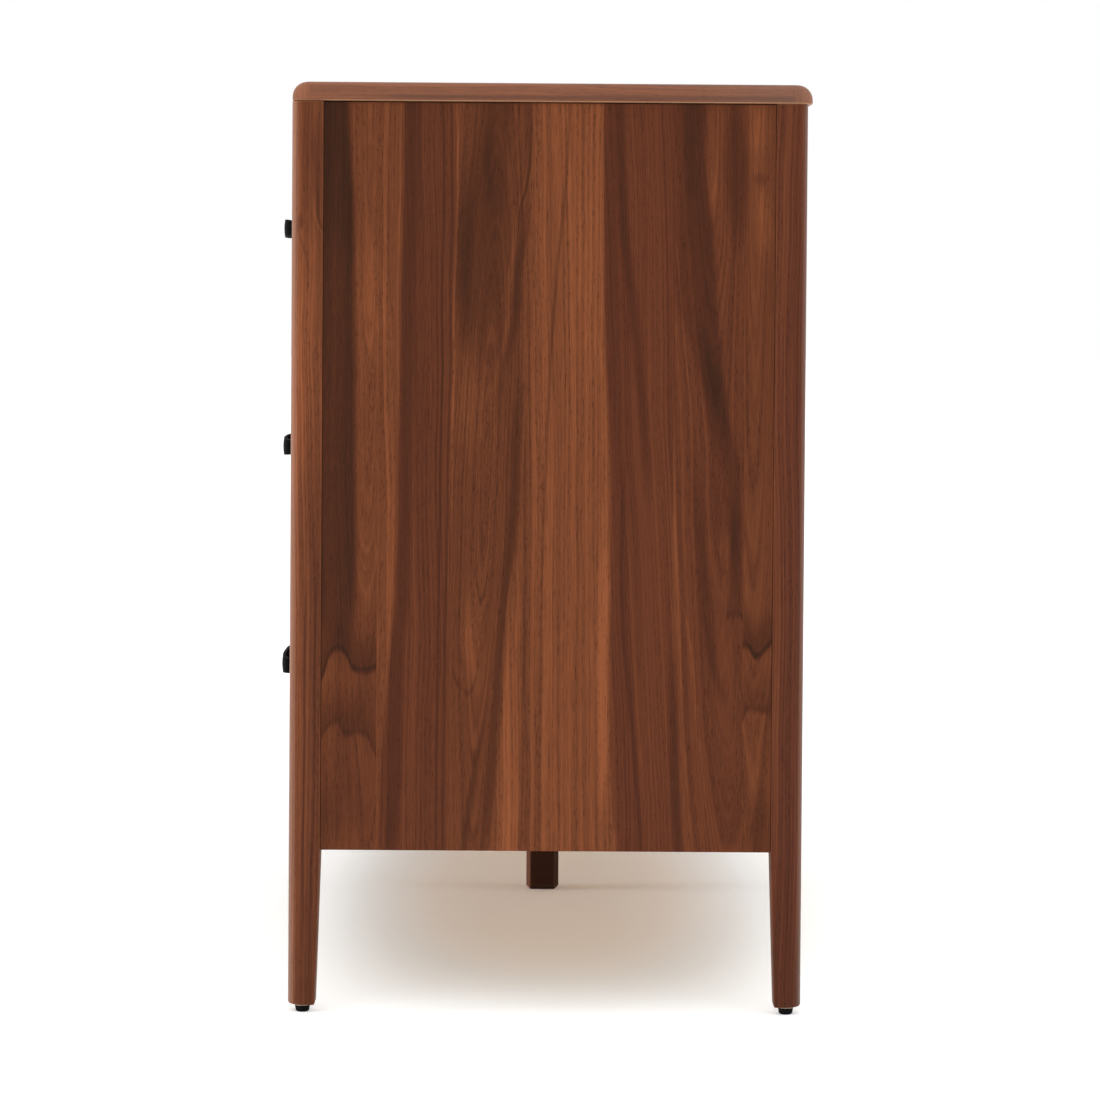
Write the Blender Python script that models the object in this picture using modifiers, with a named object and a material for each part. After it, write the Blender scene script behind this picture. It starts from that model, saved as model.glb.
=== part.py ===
"""Six-drawer dresser: a post-and-panel case on tapered legs, dovetailed drawers and bow pulls.

Units are metres, +Z is up, the drawers face -Y and "left" is the viewer's left (-X).
The origin lies on the floor, at the middle of the whole dresser's width and depth.
"""

import math

import bmesh
import bpy
from mathutils import Matrix, Vector

# Fits between pieces
FIT = 0.0003                    # clearance between pieces that touch or slide on each other
PANEL_REVEAL = 0.001            # open line between a side panel and the top
OVERSHOOT = 0.01                # how far a cutter runs past an open end

# Case heights, from the floor up
GLIDE_HEIGHT = 0.0077
LEG_CLEARANCE = 0.1612          # floor to the underside of the case
RAIL_HEIGHT = 0.0312
TOP_THICKNESS = 0.019

# Case plan
CASE_DEPTH = 0.5055             # front of the front posts to the back of the rear posts
TOP_SIDE_OVERHANG = 0.0015
TOP_REAR_OVERHANG = 0.0046
TOP_CORNER_RADIUS = 0.018
TOP_EDGE_RADIUS = 0.0145
TOP_EASING = 0.0015

# Posts, which run down into the tapered legs
POST_WIDTH = 0.0305
POST_DEPTH = 0.0317
POST_CORNER_RADIUS = 0.016
POST_EASING = 0.002
FOOT_TAPER = 0.0046             # taken off each inner face between the case and the foot
FOOT_EASING = 0.002
CENTRE_LEG_WIDTH = 0.038
CENTRE_LEG_EASING = 0.005
CENTRE_LEG_FLOOR_GAP = 0.0005

# Screw-in glides under the corner legs
GLIDE_DIAMETER = 0.0150
GLIDE_FOOT_DIAMETER = 0.0135
GLIDE_EASING = 0.0012
GLIDE_OFFSET = 0.001            # from the foot's middle towards the middle of the case's depth
GLIDE_SPIGOT_DIAMETER = 0.006
GLIDE_SPIGOT_LENGTH = 0.016

# Panels, rails and the partition
SIDE_PANEL_THICKNESS = 0.022
SIDE_PANEL_RECESS = 0.0015      # set back from the posts' outer faces
TONGUE_THICKNESS = 0.008
TONGUE_DEPTH = 0.007
BACK_PANEL_THICKNESS = 0.008
BACK_PANEL_RECESS = 0.004
BOTTOM_PANEL_THICKNESS = 0.016
DUST_PANEL_THICKNESS = 0.012
HOUSING_DEPTH = 0.005           # dados in the side panels and the partition
PARTITION_THICKNESS = 0.018
STILE_WIDTH = 0.022
RAIL_THICKNESS = 0.020
TENON_SHOULDER = 0.006
TENON_TO_GROOVE = 0.002         # post wood between a tenon and the side panel's groove
STRETCHER_THICKNESS = 0.012
STRETCHER_WIDTH = 0.060
EDGE_EASING = 0.001

# Drawers
ROWS = ("bottom", "middle", "top")
COLUMNS = ("left", "right")
FRONT_WIDTH = 0.715
FRONT_HEIGHT = 0.229
FRONT_THICKNESS = 0.020
FRONT_EASING = 0.0015
FRONT_GAP = 0.004               # between fronts, and above and below the stack
FRONT_SIDE_GAP = 0.002
BEHIND_FRONT_GAP = 0.001        # closed front to the panels behind it
DRAWER_WALL = 0.012
DRAWER_HEADROOM = 0.003
DRAWER_REAR_CLEARANCE = 0.018
DRAWER_BACK_INSET = 0.010       # back board to the rear ends of the sides
DRAWER_BACK_DROP = 0.004        # back board below the sides' top edges
DRAWER_BOTTOM_THICKNESS = 0.006
DRAWER_BOTTOM_RISE = 0.010      # above the sides' lower edges
GROOVE_DEPTH = 0.005
TAIL_COUNT = 5
TAIL_SPACE = 0.30               # share of the dovetail pitch that is pin
TAIL_SLOPE = 1.0 / 7.0
DOVETAIL_LAP = 0.008            # front wood left over the half-blind dovetails

# Bow pulls, one on each front
PULL_LENGTH = 0.1665
PULL_PROJECTION = 0.0302
PULL_DROP = 0.0018              # below the front's middle
PULL_HEIGHT = 0.0196
PULL_THICKNESS = 0.0030
PULL_FOOT_THICKNESS = 0.0065
PULL_CROWN = 0.0008             # bulge of the strap's outer face
PULL_END_NARROWING = 0.27       # share of the height lost at the feet
PULL_NARROWING_POWER = 3        # how late along the strap the narrowing comes
PULL_THICKENING_POWER = 6       # how late along the strap the feet thicken
PULL_BOW_POWER = 4.0            # exponent of the superellipse that the strap follows
PULL_STATIONS = 26
PULL_FACE_POINTS = 5
PULL_PATH_SAMPLES = 2000

# Roundness of turned and rounded shapes
GLIDE_STEPS = 24
CORNER_SEGMENTS = 6
EASING_SEGMENTS = 2
CIRCULAR_PROFILE = 0.5          # bevel profile of a round edge
SHARP_ANGLE = math.radians(40)  # steeper edges stay sharp on smooth pieces
SAME_PLACE = 1e-6               # coordinates this close count as one

# Heights that follow
CASE_BOTTOM = LEG_CLEARANCE
RAIL_TOP = CASE_BOTTOM + RAIL_HEIGHT
ROW_PITCH = FRONT_HEIGHT + FRONT_GAP
UNDERSIDE = RAIL_TOP + FRONT_GAP + len(ROWS) * ROW_PITCH
CASE_TOP = UNDERSIDE - FIT
OVERALL_HEIGHT = UNDERSIDE + TOP_THICKNESS
DUST_LAP = (DUST_PANEL_THICKNESS - FRONT_GAP) / 2
STRETCHER_LAP = STRETCHER_THICKNESS + FIT - FRONT_GAP
BOX_LIFT = DUST_LAP + FIT
BOX_DROP = max(DUST_LAP, STRETCHER_LAP) + DRAWER_HEADROOM
BOX_HEIGHT = FRONT_HEIGHT - BOX_LIFT - BOX_DROP
FLOOR_TOP = RAIL_TOP + FRONT_GAP + DUST_LAP
FLOOR_BOTTOM = FLOOR_TOP - BOTTOM_PANEL_THICKNESS

# Plan positions that follow
OPENING_WIDTH = FRONT_WIDTH + 2 * FRONT_SIDE_GAP
POST_INNER_X = STILE_WIDTH / 2 + OPENING_WIDTH
POST_OUTER_X = POST_INNER_X + POST_WIDTH
TOP_HALF_WIDTH = POST_OUTER_X + TOP_SIDE_OVERHANG
COLUMN_X = STILE_WIDTH / 2 + OPENING_WIDTH / 2
FRONT_Y = (PULL_PROJECTION - CASE_DEPTH - TOP_REAR_OVERHANG) / 2
REAR_Y = FRONT_Y + CASE_DEPTH
PANEL_OUTER_X = POST_OUTER_X - SIDE_PANEL_RECESS
PANEL_INNER_X = PANEL_OUTER_X - SIDE_PANEL_THICKNESS
TONGUE_INNER_X = PANEL_INNER_X + (SIDE_PANEL_THICKNESS - TONGUE_THICKNESS) / 2
TONGUE_OUTER_X = TONGUE_INNER_X + TONGUE_THICKNESS
TENON_LENGTH = TONGUE_INNER_X - FIT - TENON_TO_GROOVE - POST_INNER_X
HOUSED_X = PANEL_INNER_X + HOUSING_DEPTH
POST_FRONT_INNER_Y = FRONT_Y + POST_DEPTH
POST_REAR_INNER_Y = REAR_Y - POST_DEPTH
SHELF_FRONT_Y = FRONT_Y + FRONT_THICKNESS + BEHIND_FRONT_GAP
BACK_PANEL_REAR_Y = REAR_Y - BACK_PANEL_RECESS
BACK_PANEL_FRONT_Y = BACK_PANEL_REAR_Y - BACK_PANEL_THICKNESS
SHELF_REAR_Y = BACK_PANEL_FRONT_Y - FIT

# Colours, roughness and metallic values of the finishes
FINISHES = {
    "walnut": ((0.140, 0.047, 0.020), 0.48, 0.0),
    "walnut_veneer": ((0.125, 0.040, 0.018), 0.50, 0.0),
    "birch": ((0.560, 0.390, 0.220), 0.60, 0.0),
    "birch_ply": ((0.520, 0.350, 0.190), 0.65, 0.0),
    "black_metal": ((0.012, 0.011, 0.011), 0.42, 0.85),
    "black_nylon": ((0.011, 0.010, 0.009), 0.55, 0.0),
}


def new_collection(name):
    """Make a collection in the scene."""
    collection = bpy.data.collections.new(name)
    bpy.context.scene.collection.children.link(collection)
    return collection


def finish(name):
    """Return the named Principled material, made on first use."""
    material = bpy.data.materials.get(name)
    if material:
        return material
    colour, roughness, metallic = FINISHES[name]
    material = bpy.data.materials.new(name)
    material.use_nodes = True
    shader = material.node_tree.nodes["Principled BSDF"]
    shader.inputs["Base Color"].default_value = (*colour, 1.0)
    shader.inputs["Roughness"].default_value = roughness
    shader.inputs["Metallic"].default_value = metallic
    return material


def object_from_bmesh(name, bm, collection, material=None, parent=None):
    """Move a bmesh to an object whose origin is the middle of its box, or its parent's origin."""
    bmesh.ops.recalc_face_normals(bm, faces=bm.faces)
    if parent:
        origin = parent.location
    else:
        lows = Vector([min(v.co[i] for v in bm.verts) for i in range(3)])
        highs = Vector([max(v.co[i] for v in bm.verts) for i in range(3)])
        origin = (lows + highs) / 2
    bmesh.ops.translate(bm, verts=bm.verts, vec=-Vector(origin))
    mesh = bpy.data.meshes.new(name)
    bm.to_mesh(mesh)
    bm.free()
    obj = bpy.data.objects.new(name, mesh)
    collection.objects.link(obj)
    if parent:
        obj.parent = parent
    else:
        obj.location = origin
    if material:
        mesh.materials.append(finish(material))
    return obj


def add_box(bm, low, high):
    """Add a box between two corners and return its vertices."""
    low = Vector(low)
    size = Vector(high) - low
    place = Matrix.Translation(low + size / 2) @ Matrix.Diagonal((*size, 1.0))
    return bmesh.ops.create_cube(bm, size=1.0, matrix=place)["verts"]


def add_prism(bm, outline, axis, start, end):
    """Add an outline drawn across an axis, extruded along it.

    The outline's two coordinates are the two other axes, in X, Y, Z order.
    """
    def point(pair):
        coords = list(pair)
        coords.insert(axis, start)
        return coords

    face = bm.faces.new([bm.verts.new(point(pair)) for pair in outline])
    grown = bmesh.ops.extrude_face_region(bm, geom=[face])["geom"]
    moved = [item for item in grown if isinstance(item, bmesh.types.BMVert)]
    step = Vector((0, 0, 0))
    step[axis] = end - start
    bmesh.ops.translate(bm, verts=moved, vec=step)


def round_edges(bm, picks, radius, segments):
    """Round the edges whose two ends both satisfy the test."""
    edges = [edge for edge in bm.edges if all(picks(vert.co) for vert in edge.verts)]
    bmesh.ops.bevel(bm, geom=edges, offset=radius, segments=segments, profile=CIRCULAR_PROFILE,
                    affect="EDGES")


def round_uprights(bm, picks, radius, segments):
    """Round the standing edges whose two ends both satisfy the test."""
    edges = [edge for edge in bm.edges if all(picks(vert.co) for vert in edge.verts)
             and not near(edge.verts[0].co.z, edge.verts[1].co.z)]
    bmesh.ops.bevel(bm, geom=edges, offset=radius, segments=segments, profile=CIRCULAR_PROFILE,
                    affect="EDGES")


def near(a, b):
    """Tell whether two coordinates are the same, within rounding."""
    return abs(a - b) < SAME_PLACE


def cut(target, name, boxes=(), prisms=()):
    """Cut boxes and prisms out of an object, with one hidden cutter."""
    bm = bmesh.new()
    for low, high in boxes:
        add_box(bm, low, high)
    for prism in prisms:
        add_prism(bm, *prism)
    cutter = object_from_bmesh(name, bm, CUTTERS)
    cutter.hide_render = True
    cutter.display_type = "WIRE"
    boolean = target.modifiers.new(name, "BOOLEAN")
    boolean.operation = "DIFFERENCE"
    boolean.solver = "EXACT"
    boolean.object = cutter


def eased_box(name, low, high, easing, material, parent=None):
    """Make a board with all its edges slightly rounded."""
    bm = bmesh.new()
    add_box(bm, low, high)
    round_edges(bm, lambda co: True, easing, 1)
    return object_from_bmesh(name, bm, DRESSER, material, parent)


def make_top():
    """Top with rounded plan corners and a quarter-round upper edge."""
    bm = bmesh.new()
    add_box(bm, (-TOP_HALF_WIDTH, FRONT_Y, UNDERSIDE),
            (TOP_HALF_WIDTH, REAR_Y + TOP_REAR_OVERHANG, OVERALL_HEIGHT))
    round_uprights(bm, lambda co: True, TOP_CORNER_RADIUS, CORNER_SEGMENTS)
    round_edges(bm, lambda co: near(co.z, OVERALL_HEIGHT), TOP_EDGE_RADIUS, CORNER_SEGMENTS)
    round_edges(bm, lambda co: near(co.z, UNDERSIDE), TOP_EASING, EASING_SEGMENTS)
    top = object_from_bmesh("top", bm, DRESSER, "walnut_veneer")
    top.data.shade_smooth()
    top.data.set_sharp_from_angle(angle=SHARP_ANGLE)


def make_post(name, side, end):
    """Post and tapered leg in one piece; side is +1 at the right, end is +1 at the rear."""
    inner_x, outer_x = POST_INNER_X, POST_OUTER_X
    inner_y, outer_y = CASE_DEPTH / 2 - POST_DEPTH, CASE_DEPTH / 2
    bm = bmesh.new()
    add_box(bm, (inner_x, inner_y, GLIDE_HEIGHT), (outer_x, outer_y, CASE_TOP))
    bmesh.ops.bisect_plane(bm, geom=bm.verts[:] + bm.edges[:] + bm.faces[:],
                           plane_co=(0, 0, CASE_BOTTOM), plane_no=(0, 0, 1))
    foot_x, foot_y = inner_x + FOOT_TAPER, inner_y + FOOT_TAPER
    for vert in bm.verts:
        if near(vert.co.z, GLIDE_HEIGHT):
            vert.co.x = max(vert.co.x, foot_x)
            vert.co.y = max(vert.co.y, foot_y)
    bm.normal_update()
    round_uprights(bm, lambda co: near(co.x, outer_x) and near(co.y, outer_y),
                   POST_CORNER_RADIUS, CORNER_SEGMENTS)
    round_uprights(bm, lambda co: near(co.x, outer_x) and co.y < foot_y + POST_EASING,
                   POST_EASING, EASING_SEGMENTS)
    round_uprights(bm, lambda co: near(co.y, outer_y) and co.x < foot_x + POST_EASING,
                   POST_EASING, EASING_SEGMENTS)
    round_edges(bm, lambda co: near(co.z, GLIDE_HEIGHT), FOOT_EASING, EASING_SEGMENTS)
    bmesh.ops.translate(bm, verts=bm.verts, vec=(0, end * (FRONT_Y + REAR_Y) / 2, 0))
    bmesh.ops.scale(bm, verts=bm.verts, vec=(side, end, 1))
    post = object_from_bmesh(name, bm, DRESSER, "walnut")
    post.data.shade_smooth()
    post.data.set_sharp_from_angle(angle=SHARP_ANGLE)
    cut_post(post, side, end)


def cut_post(post, side, end):
    """Groove a post for its panels, mortise it for its rail and bore it for its glide."""
    def at(x_range, y_range, z_range):
        xs = sorted(side * x for x in x_range)
        low, high = zip(xs, sorted(y_range), z_range)
        return low, high

    inner_y = POST_REAR_INNER_Y if end > 0 else POST_FRONT_INNER_Y
    face_y = REAR_Y if end > 0 else FRONT_Y
    full = (CASE_BOTTOM - FIT, CASE_TOP + OVERSHOOT)
    cut(post, post.name + "_side_groove", [at(
        (TONGUE_INNER_X - FIT, TONGUE_OUTER_X + FIT),
        (inner_y - end * OVERSHOOT, inner_y + end * TONGUE_DEPTH), full)])
    joints = []
    if end > 0:
        joints.append(at((POST_INNER_X - OVERSHOOT, POST_INNER_X + TONGUE_DEPTH),
                         (BACK_PANEL_FRONT_Y - FIT, BACK_PANEL_REAR_Y + FIT), full))
        rail_y, rail_z = REAR_RAIL_Y, REAR_RAIL_Z
    else:
        rail_y, rail_z = FRONT_RAIL_Y, FRONT_RAIL_Z
    inset = TENON_SHOULDER - FIT
    joints.append(at((POST_INNER_X - OVERSHOOT, POST_INNER_X + TENON_LENGTH + FIT),
                     (rail_y[0] + inset, rail_y[1] - inset), (rail_z[0] + inset, rail_z[1] - inset)))
    cut(post, post.name + "_joints", joints)
    bore = GLIDE_SPIGOT_DIAMETER / 2 + FIT
    centre_x, centre_y = side * GLIDE_X, face_y - end * GLIDE_INSET
    outline = [(centre_x + bore * math.cos(a), centre_y + bore * math.sin(a))
               for a in circle_angles(GLIDE_STEPS)]
    cut(post, post.name + "_glide_bore", prisms=[
        (outline, 2, GLIDE_HEIGHT - OVERSHOOT, GLIDE_HEIGHT + GLIDE_SPIGOT_LENGTH + FIT)])


def circle_angles(steps):
    """Angles of evenly spaced points round a circle."""
    return [2 * math.pi * i / steps for i in range(steps)]


def make_glide(name, side, end):
    """Turned nylon glide with a spigot up into its leg."""
    foot, rim, spigot = GLIDE_FOOT_DIAMETER / 2, GLIDE_DIAMETER / 2, GLIDE_SPIGOT_DIAMETER / 2
    top = GLIDE_HEIGHT - FIT
    profile = [(0, top + GLIDE_SPIGOT_LENGTH), (spigot, top + GLIDE_SPIGOT_LENGTH), (spigot, top),
               (rim - GLIDE_EASING, top), (rim, top - GLIDE_EASING), (foot, GLIDE_EASING),
               (foot - GLIDE_EASING, 0), (0, 0)]
    mesh = bpy.data.meshes.new(name)
    points = [(x, 0, z) for x, z in profile]
    mesh.from_pydata(points, [(i, i + 1) for i in range(len(points) - 1)], [])
    mesh.materials.append(finish("black_nylon"))
    glide = bpy.data.objects.new(name, mesh)
    DRESSER.objects.link(glide)
    face_y = REAR_Y if end > 0 else FRONT_Y
    glide.location = (side * GLIDE_X, face_y - end * GLIDE_INSET, 0)
    screw = glide.modifiers.new("turned", "SCREW")
    screw.steps = GLIDE_STEPS
    screw.render_steps = GLIDE_STEPS
    screw.use_merge_vertices = True
    screw.merge_threshold = SAME_PLACE


def make_centre_leg():
    """Square leg under the middle of the floor panel."""
    half = CENTRE_LEG_WIDTH / 2
    middle_y = (FRONT_Y + REAR_Y) / 2
    eased_box("centre_leg", (-half, middle_y - half, CENTRE_LEG_FLOOR_GAP),
              (half, middle_y + half, FLOOR_BOTTOM - FIT), CENTRE_LEG_EASING, "walnut")


def make_side_panel(name, side):
    """Side panel, tongued into both posts and grooved inside for the shelves."""
    front, rear = POST_FRONT_INNER_Y + FIT, POST_REAR_INNER_Y - FIT
    tongue_front = POST_FRONT_INNER_Y - TONGUE_DEPTH + FIT
    tongue_rear = POST_REAR_INNER_Y + TONGUE_DEPTH - FIT
    half = [(PANEL_OUTER_X, front), (TONGUE_OUTER_X, front), (TONGUE_OUTER_X, tongue_front),
            (TONGUE_INNER_X, tongue_front), (TONGUE_INNER_X, front), (PANEL_INNER_X, front)]
    far_half = [(x, rear if y == front else tongue_rear) for x, y in reversed(half)]
    outline = [(side * x, y) for x, y in half + far_half]
    bm = bmesh.new()
    add_prism(bm, outline, 2, CASE_BOTTOM, UNDERSIDE - PANEL_REVEAL)
    panel = object_from_bmesh(name, bm, DRESSER, "walnut_veneer")
    xs = sorted((side * (PANEL_INNER_X - OVERSHOOT), side * HOUSED_X))
    cut(panel, name + "_dados", [
        ((xs[0], front - OVERSHOOT, low - FIT), (xs[1], rear + OVERSHOOT, high + FIT))
        for low, high in [(FLOOR_BOTTOM, FLOOR_TOP)] + DUST_LEVELS])


def make_back_panel():
    """Thin back, held in grooves of the rear posts."""
    half = POST_INNER_X + TONGUE_DEPTH - FIT
    bm = bmesh.new()
    add_box(bm, (-half, BACK_PANEL_FRONT_Y, CASE_BOTTOM), (half, BACK_PANEL_REAR_Y, CASE_TOP))
    object_from_bmesh("back_panel", bm, DRESSER, "birch_ply")


def notched_half(inner_x):
    """Right-hand half of a shelf's plan, cut round the posts, from front to rear."""
    post_x = POST_INNER_X - FIT
    front_notch, rear_notch = POST_FRONT_INNER_Y + FIT, POST_REAR_INNER_Y - FIT
    housed = HOUSED_X - FIT
    return [(inner_x, SHELF_FRONT_Y), (post_x, SHELF_FRONT_Y), (post_x, front_notch),
            (housed, front_notch), (housed, rear_notch), (post_x, rear_notch),
            (post_x, SHELF_REAR_Y), (inner_x, SHELF_REAR_Y)]


def make_bottom_panel():
    """Floor of the case, housed in both side panels."""
    right = notched_half(0)[1:-1]
    left = [(-x, y) for x, y in reversed(right)]
    bm = bmesh.new()
    add_prism(bm, right + left, 2, FLOOR_BOTTOM, FLOOR_TOP)
    object_from_bmesh("bottom_panel", bm, DRESSER, "birch_ply")


def make_dust_panel(name, side, level):
    """Shelf that the drawers above it slide on."""
    inner_x = PARTITION_THICKNESS / 2 - HOUSING_DEPTH + FIT
    bm = bmesh.new()
    add_prism(bm, [(side * x, y) for x, y in notched_half(inner_x)], 2, *level)
    object_from_bmesh(name, bm, DRESSER, "birch_ply")


def make_partition():
    """Upright between the drawer columns, notched at the top for the stretchers."""
    front, rear = FRONT_Y + FRONT_THICKNESS + FIT, SHELF_REAR_Y
    bottom, notch = FLOOR_TOP + FIT, CASE_TOP - STRETCHER_THICKNESS - FIT
    front_notch, rear_notch = FRONT_STRETCHER_Y[1] + FIT, REAR_STRETCHER_Y[0] - FIT
    outline = [(front, bottom), (rear, bottom), (rear, notch), (rear_notch, notch),
               (rear_notch, CASE_TOP), (front_notch, CASE_TOP), (front_notch, notch), (front, notch)]
    half = PARTITION_THICKNESS / 2
    bm = bmesh.new()
    add_prism(bm, outline, 0, -half, half)
    partition = object_from_bmesh("centre_partition", bm, DRESSER, "birch_ply")
    dado = half - HOUSING_DEPTH
    cut(partition, "centre_partition_dados", [
        ((xs[0], SHELF_FRONT_Y - OVERSHOOT, low - FIT), (xs[1], rear + OVERSHOOT, high + FIT))
        for low, high in DUST_LEVELS
        for xs in ((-half - OVERSHOOT, -dado), (dado, half + OVERSHOOT))])
    eased_box("centre_stile", (-STILE_WIDTH / 2, FRONT_Y, RAIL_TOP + FIT),
              (STILE_WIDTH / 2, FRONT_Y + FRONT_THICKNESS, CASE_TOP), EDGE_EASING, "walnut")


def make_rail(name, y_range, z_range, material):
    """Rail between two posts, with a tenon at each end."""
    half = POST_INNER_X - FIT
    bm = bmesh.new()
    add_box(bm, (-half, y_range[0], z_range[0]), (half, y_range[1], z_range[1]))
    bm.normal_update()
    for end in (-1, 1):
        face = max(bm.faces, key=lambda f: f.calc_center_median().x * end)
        bmesh.ops.inset_individual(bm, faces=[face], thickness=TENON_SHOULDER, use_even_offset=True)
        grown = bmesh.ops.extrude_face_region(bm, geom=[face])["geom"]
        moved = [item for item in grown if isinstance(item, bmesh.types.BMVert)]
        bmesh.ops.translate(bm, verts=moved, vec=(end * (TENON_LENGTH + FIT), 0, 0))
        bmesh.ops.delete(bm, geom=[face], context="FACES_ONLY")
        bm.normal_update()
    object_from_bmesh(name, bm, DRESSER, material)


def make_stretcher(name, y_range, post_y):
    """Flat rail under the top, notched round the two posts beside it."""
    half, post_x = PANEL_INNER_X - FIT, POST_INNER_X - FIT
    at_front = post_y < (FRONT_Y + REAR_Y) / 2
    outer, inner = (y_range[0], y_range[1]) if at_front else (y_range[1], y_range[0])
    right = [(post_x, outer), (post_x, post_y), (half, post_y), (half, inner)]
    left = [(-x, y) for x, y in reversed(right)]
    bm = bmesh.new()
    add_prism(bm, right + left, 2, CASE_TOP - STRETCHER_THICKNESS, CASE_TOP)
    object_from_bmesh(name, bm, DRESSER, "birch")


def tail_outlines(front_face_y, base_z, clearance):
    """Dovetails in side view, at a drawer side's front end, grown by a clearance."""
    depth = FRONT_THICKNESS - DOVETAIL_LAP
    pitch = BOX_HEIGHT / TAIL_COUNT
    tip = pitch * (1 - TAIL_SPACE) / 2 + clearance
    root = tip - depth * TAIL_SLOPE
    root_y = front_face_y + FRONT_THICKNESS + FIT
    tip_y = front_face_y + DOVETAIL_LAP + FIT - clearance
    tails = []
    for index in range(TAIL_COUNT):
        middle = base_z + pitch * (index + 0.5)
        tails.append([(root_y, middle - root), (tip_y, middle - tip),
                      (tip_y, middle + tip), (root_y, middle + root)])
    return tails


def make_drawer(row_index, side):
    """One drawer of six pieces, on an empty at the middle of its front face."""
    row = ROWS[row_index]
    name = f"drawer_{row}_{COLUMNS[0] if side < 0 else COLUMNS[1]}"
    base_z = RAIL_TOP + FRONT_GAP + row_index * ROW_PITCH
    axis = bpy.data.objects.new(name + "_slide_axis", None)
    axis.location = (side * COLUMN_X, FRONT_Y, base_z + FRONT_HEIGHT / 2)
    DRESSER.objects.link(axis)
    x_low, x_high = side * COLUMN_X - FRONT_WIDTH / 2, side * COLUMN_X + FRONT_WIDTH / 2
    box_z = base_z + BOX_LIFT
    inner_low, inner_high = x_low + DRAWER_WALL, x_high - DRAWER_WALL
    rear_y = BACK_PANEL_FRONT_Y - DRAWER_REAR_CLEARANCE
    back_y = (rear_y - DRAWER_BACK_INSET - DRAWER_WALL, rear_y - DRAWER_BACK_INSET)
    floor_z = (box_z + DRAWER_BOTTOM_RISE, box_z + DRAWER_BOTTOM_RISE + DRAWER_BOTTOM_THICKNESS)
    groove_z = (floor_z[0] - FIT, floor_z[1] + FIT)
    back_face_y = FRONT_Y + FRONT_THICKNESS

    front = eased_box(name + "_front", (x_low, FRONT_Y, base_z),
                      (x_high, back_face_y, base_z + FRONT_HEIGHT), FRONT_EASING, "walnut_veneer", axis)
    sockets = []
    for start, end in ((x_low - OVERSHOOT, inner_low + FIT), (inner_high - FIT, x_high + OVERSHOOT)):
        for outline in tail_outlines(FRONT_Y, box_z, FIT):
            past = [(back_face_y + OVERSHOOT, z) if y > back_face_y else (y, z) for y, z in outline]
            sockets.append((past, 0, start, end))
    cut(front, name + "_sockets", prisms=sockets)
    cut(front, name + "_front_groove", [
        ((inner_low - GROOVE_DEPTH, back_face_y - GROOVE_DEPTH, groove_z[0]),
         (inner_high + GROOVE_DEPTH, back_face_y + OVERSHOOT, groove_z[1]))])

    for hand, start, end in (("left", x_low, inner_low), ("right", inner_high, x_high)):
        side_name = f"{name}_side_{hand}"
        shoulder_y = back_face_y + FIT
        outline = [(shoulder_y, box_z)]
        for tail in tail_outlines(FRONT_Y, box_z, 0):
            outline += tail
        outline += [(shoulder_y, box_z + BOX_HEIGHT), (rear_y, box_z + BOX_HEIGHT), (rear_y, box_z)]
        bm = bmesh.new()
        add_prism(bm, outline, 0, start, end)
        board = object_from_bmesh(side_name, bm, DRESSER, "birch", axis)
        if hand == "left":
            groove_x = (inner_low - GROOVE_DEPTH, inner_low + OVERSHOOT)
        else:
            groove_x = (inner_high - OVERSHOOT, inner_high + GROOVE_DEPTH)
        cut(board, side_name + "_groove", [
            ((groove_x[0], FRONT_Y, groove_z[0]), (groove_x[1], rear_y + OVERSHOOT, groove_z[1]))])
        cut(board, side_name + "_dado", [
            ((groove_x[0], back_y[0] - FIT, groove_z[1] - FIT),
             (groove_x[1], back_y[1] + FIT, box_z + BOX_HEIGHT + OVERSHOOT))])

    reach = GROOVE_DEPTH - FIT
    bm = bmesh.new()
    add_box(bm, (inner_low - reach, back_y[0], groove_z[1]),
            (inner_high + reach, back_y[1], box_z + BOX_HEIGHT - DRAWER_BACK_DROP))
    object_from_bmesh(name + "_back", bm, DRESSER, "birch", axis)
    bm = bmesh.new()
    add_box(bm, (inner_low - reach, back_face_y - reach, floor_z[0]),
            (inner_high + reach, back_y[1], floor_z[1]))
    object_from_bmesh(name + "_bottom", bm, DRESSER, "birch_ply", axis)
    make_pull(name + "_pull", axis)


def pull_path():
    """Evenly spaced points of the strap's outer face in plan, from one foot to the other."""
    half, reach, power = PULL_LENGTH / 2, PULL_PROJECTION - PULL_CROWN - FIT, 2 / PULL_BOW_POWER
    dense = []
    for i in range(PULL_PATH_SAMPLES + 1):
        angle = math.pi * i / PULL_PATH_SAMPLES
        across = math.copysign(abs(math.cos(angle)) ** power, math.cos(angle))
        dense.append(Vector((half * across, reach * abs(math.sin(angle)) ** power)))
    lengths = [0.0]
    for a, b in zip(dense, dense[1:]):
        lengths.append(lengths[-1] + (b - a).length)
    points, index = [], 0
    for station in range(PULL_STATIONS):
        target = lengths[-1] * station / (PULL_STATIONS - 1)
        while index < PULL_PATH_SAMPLES - 1 and lengths[index + 1] < target:
            index += 1
        share = (target - lengths[index]) / (lengths[index + 1] - lengths[index])
        points.append(dense[index].lerp(dense[index + 1], share))
    return points


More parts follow.
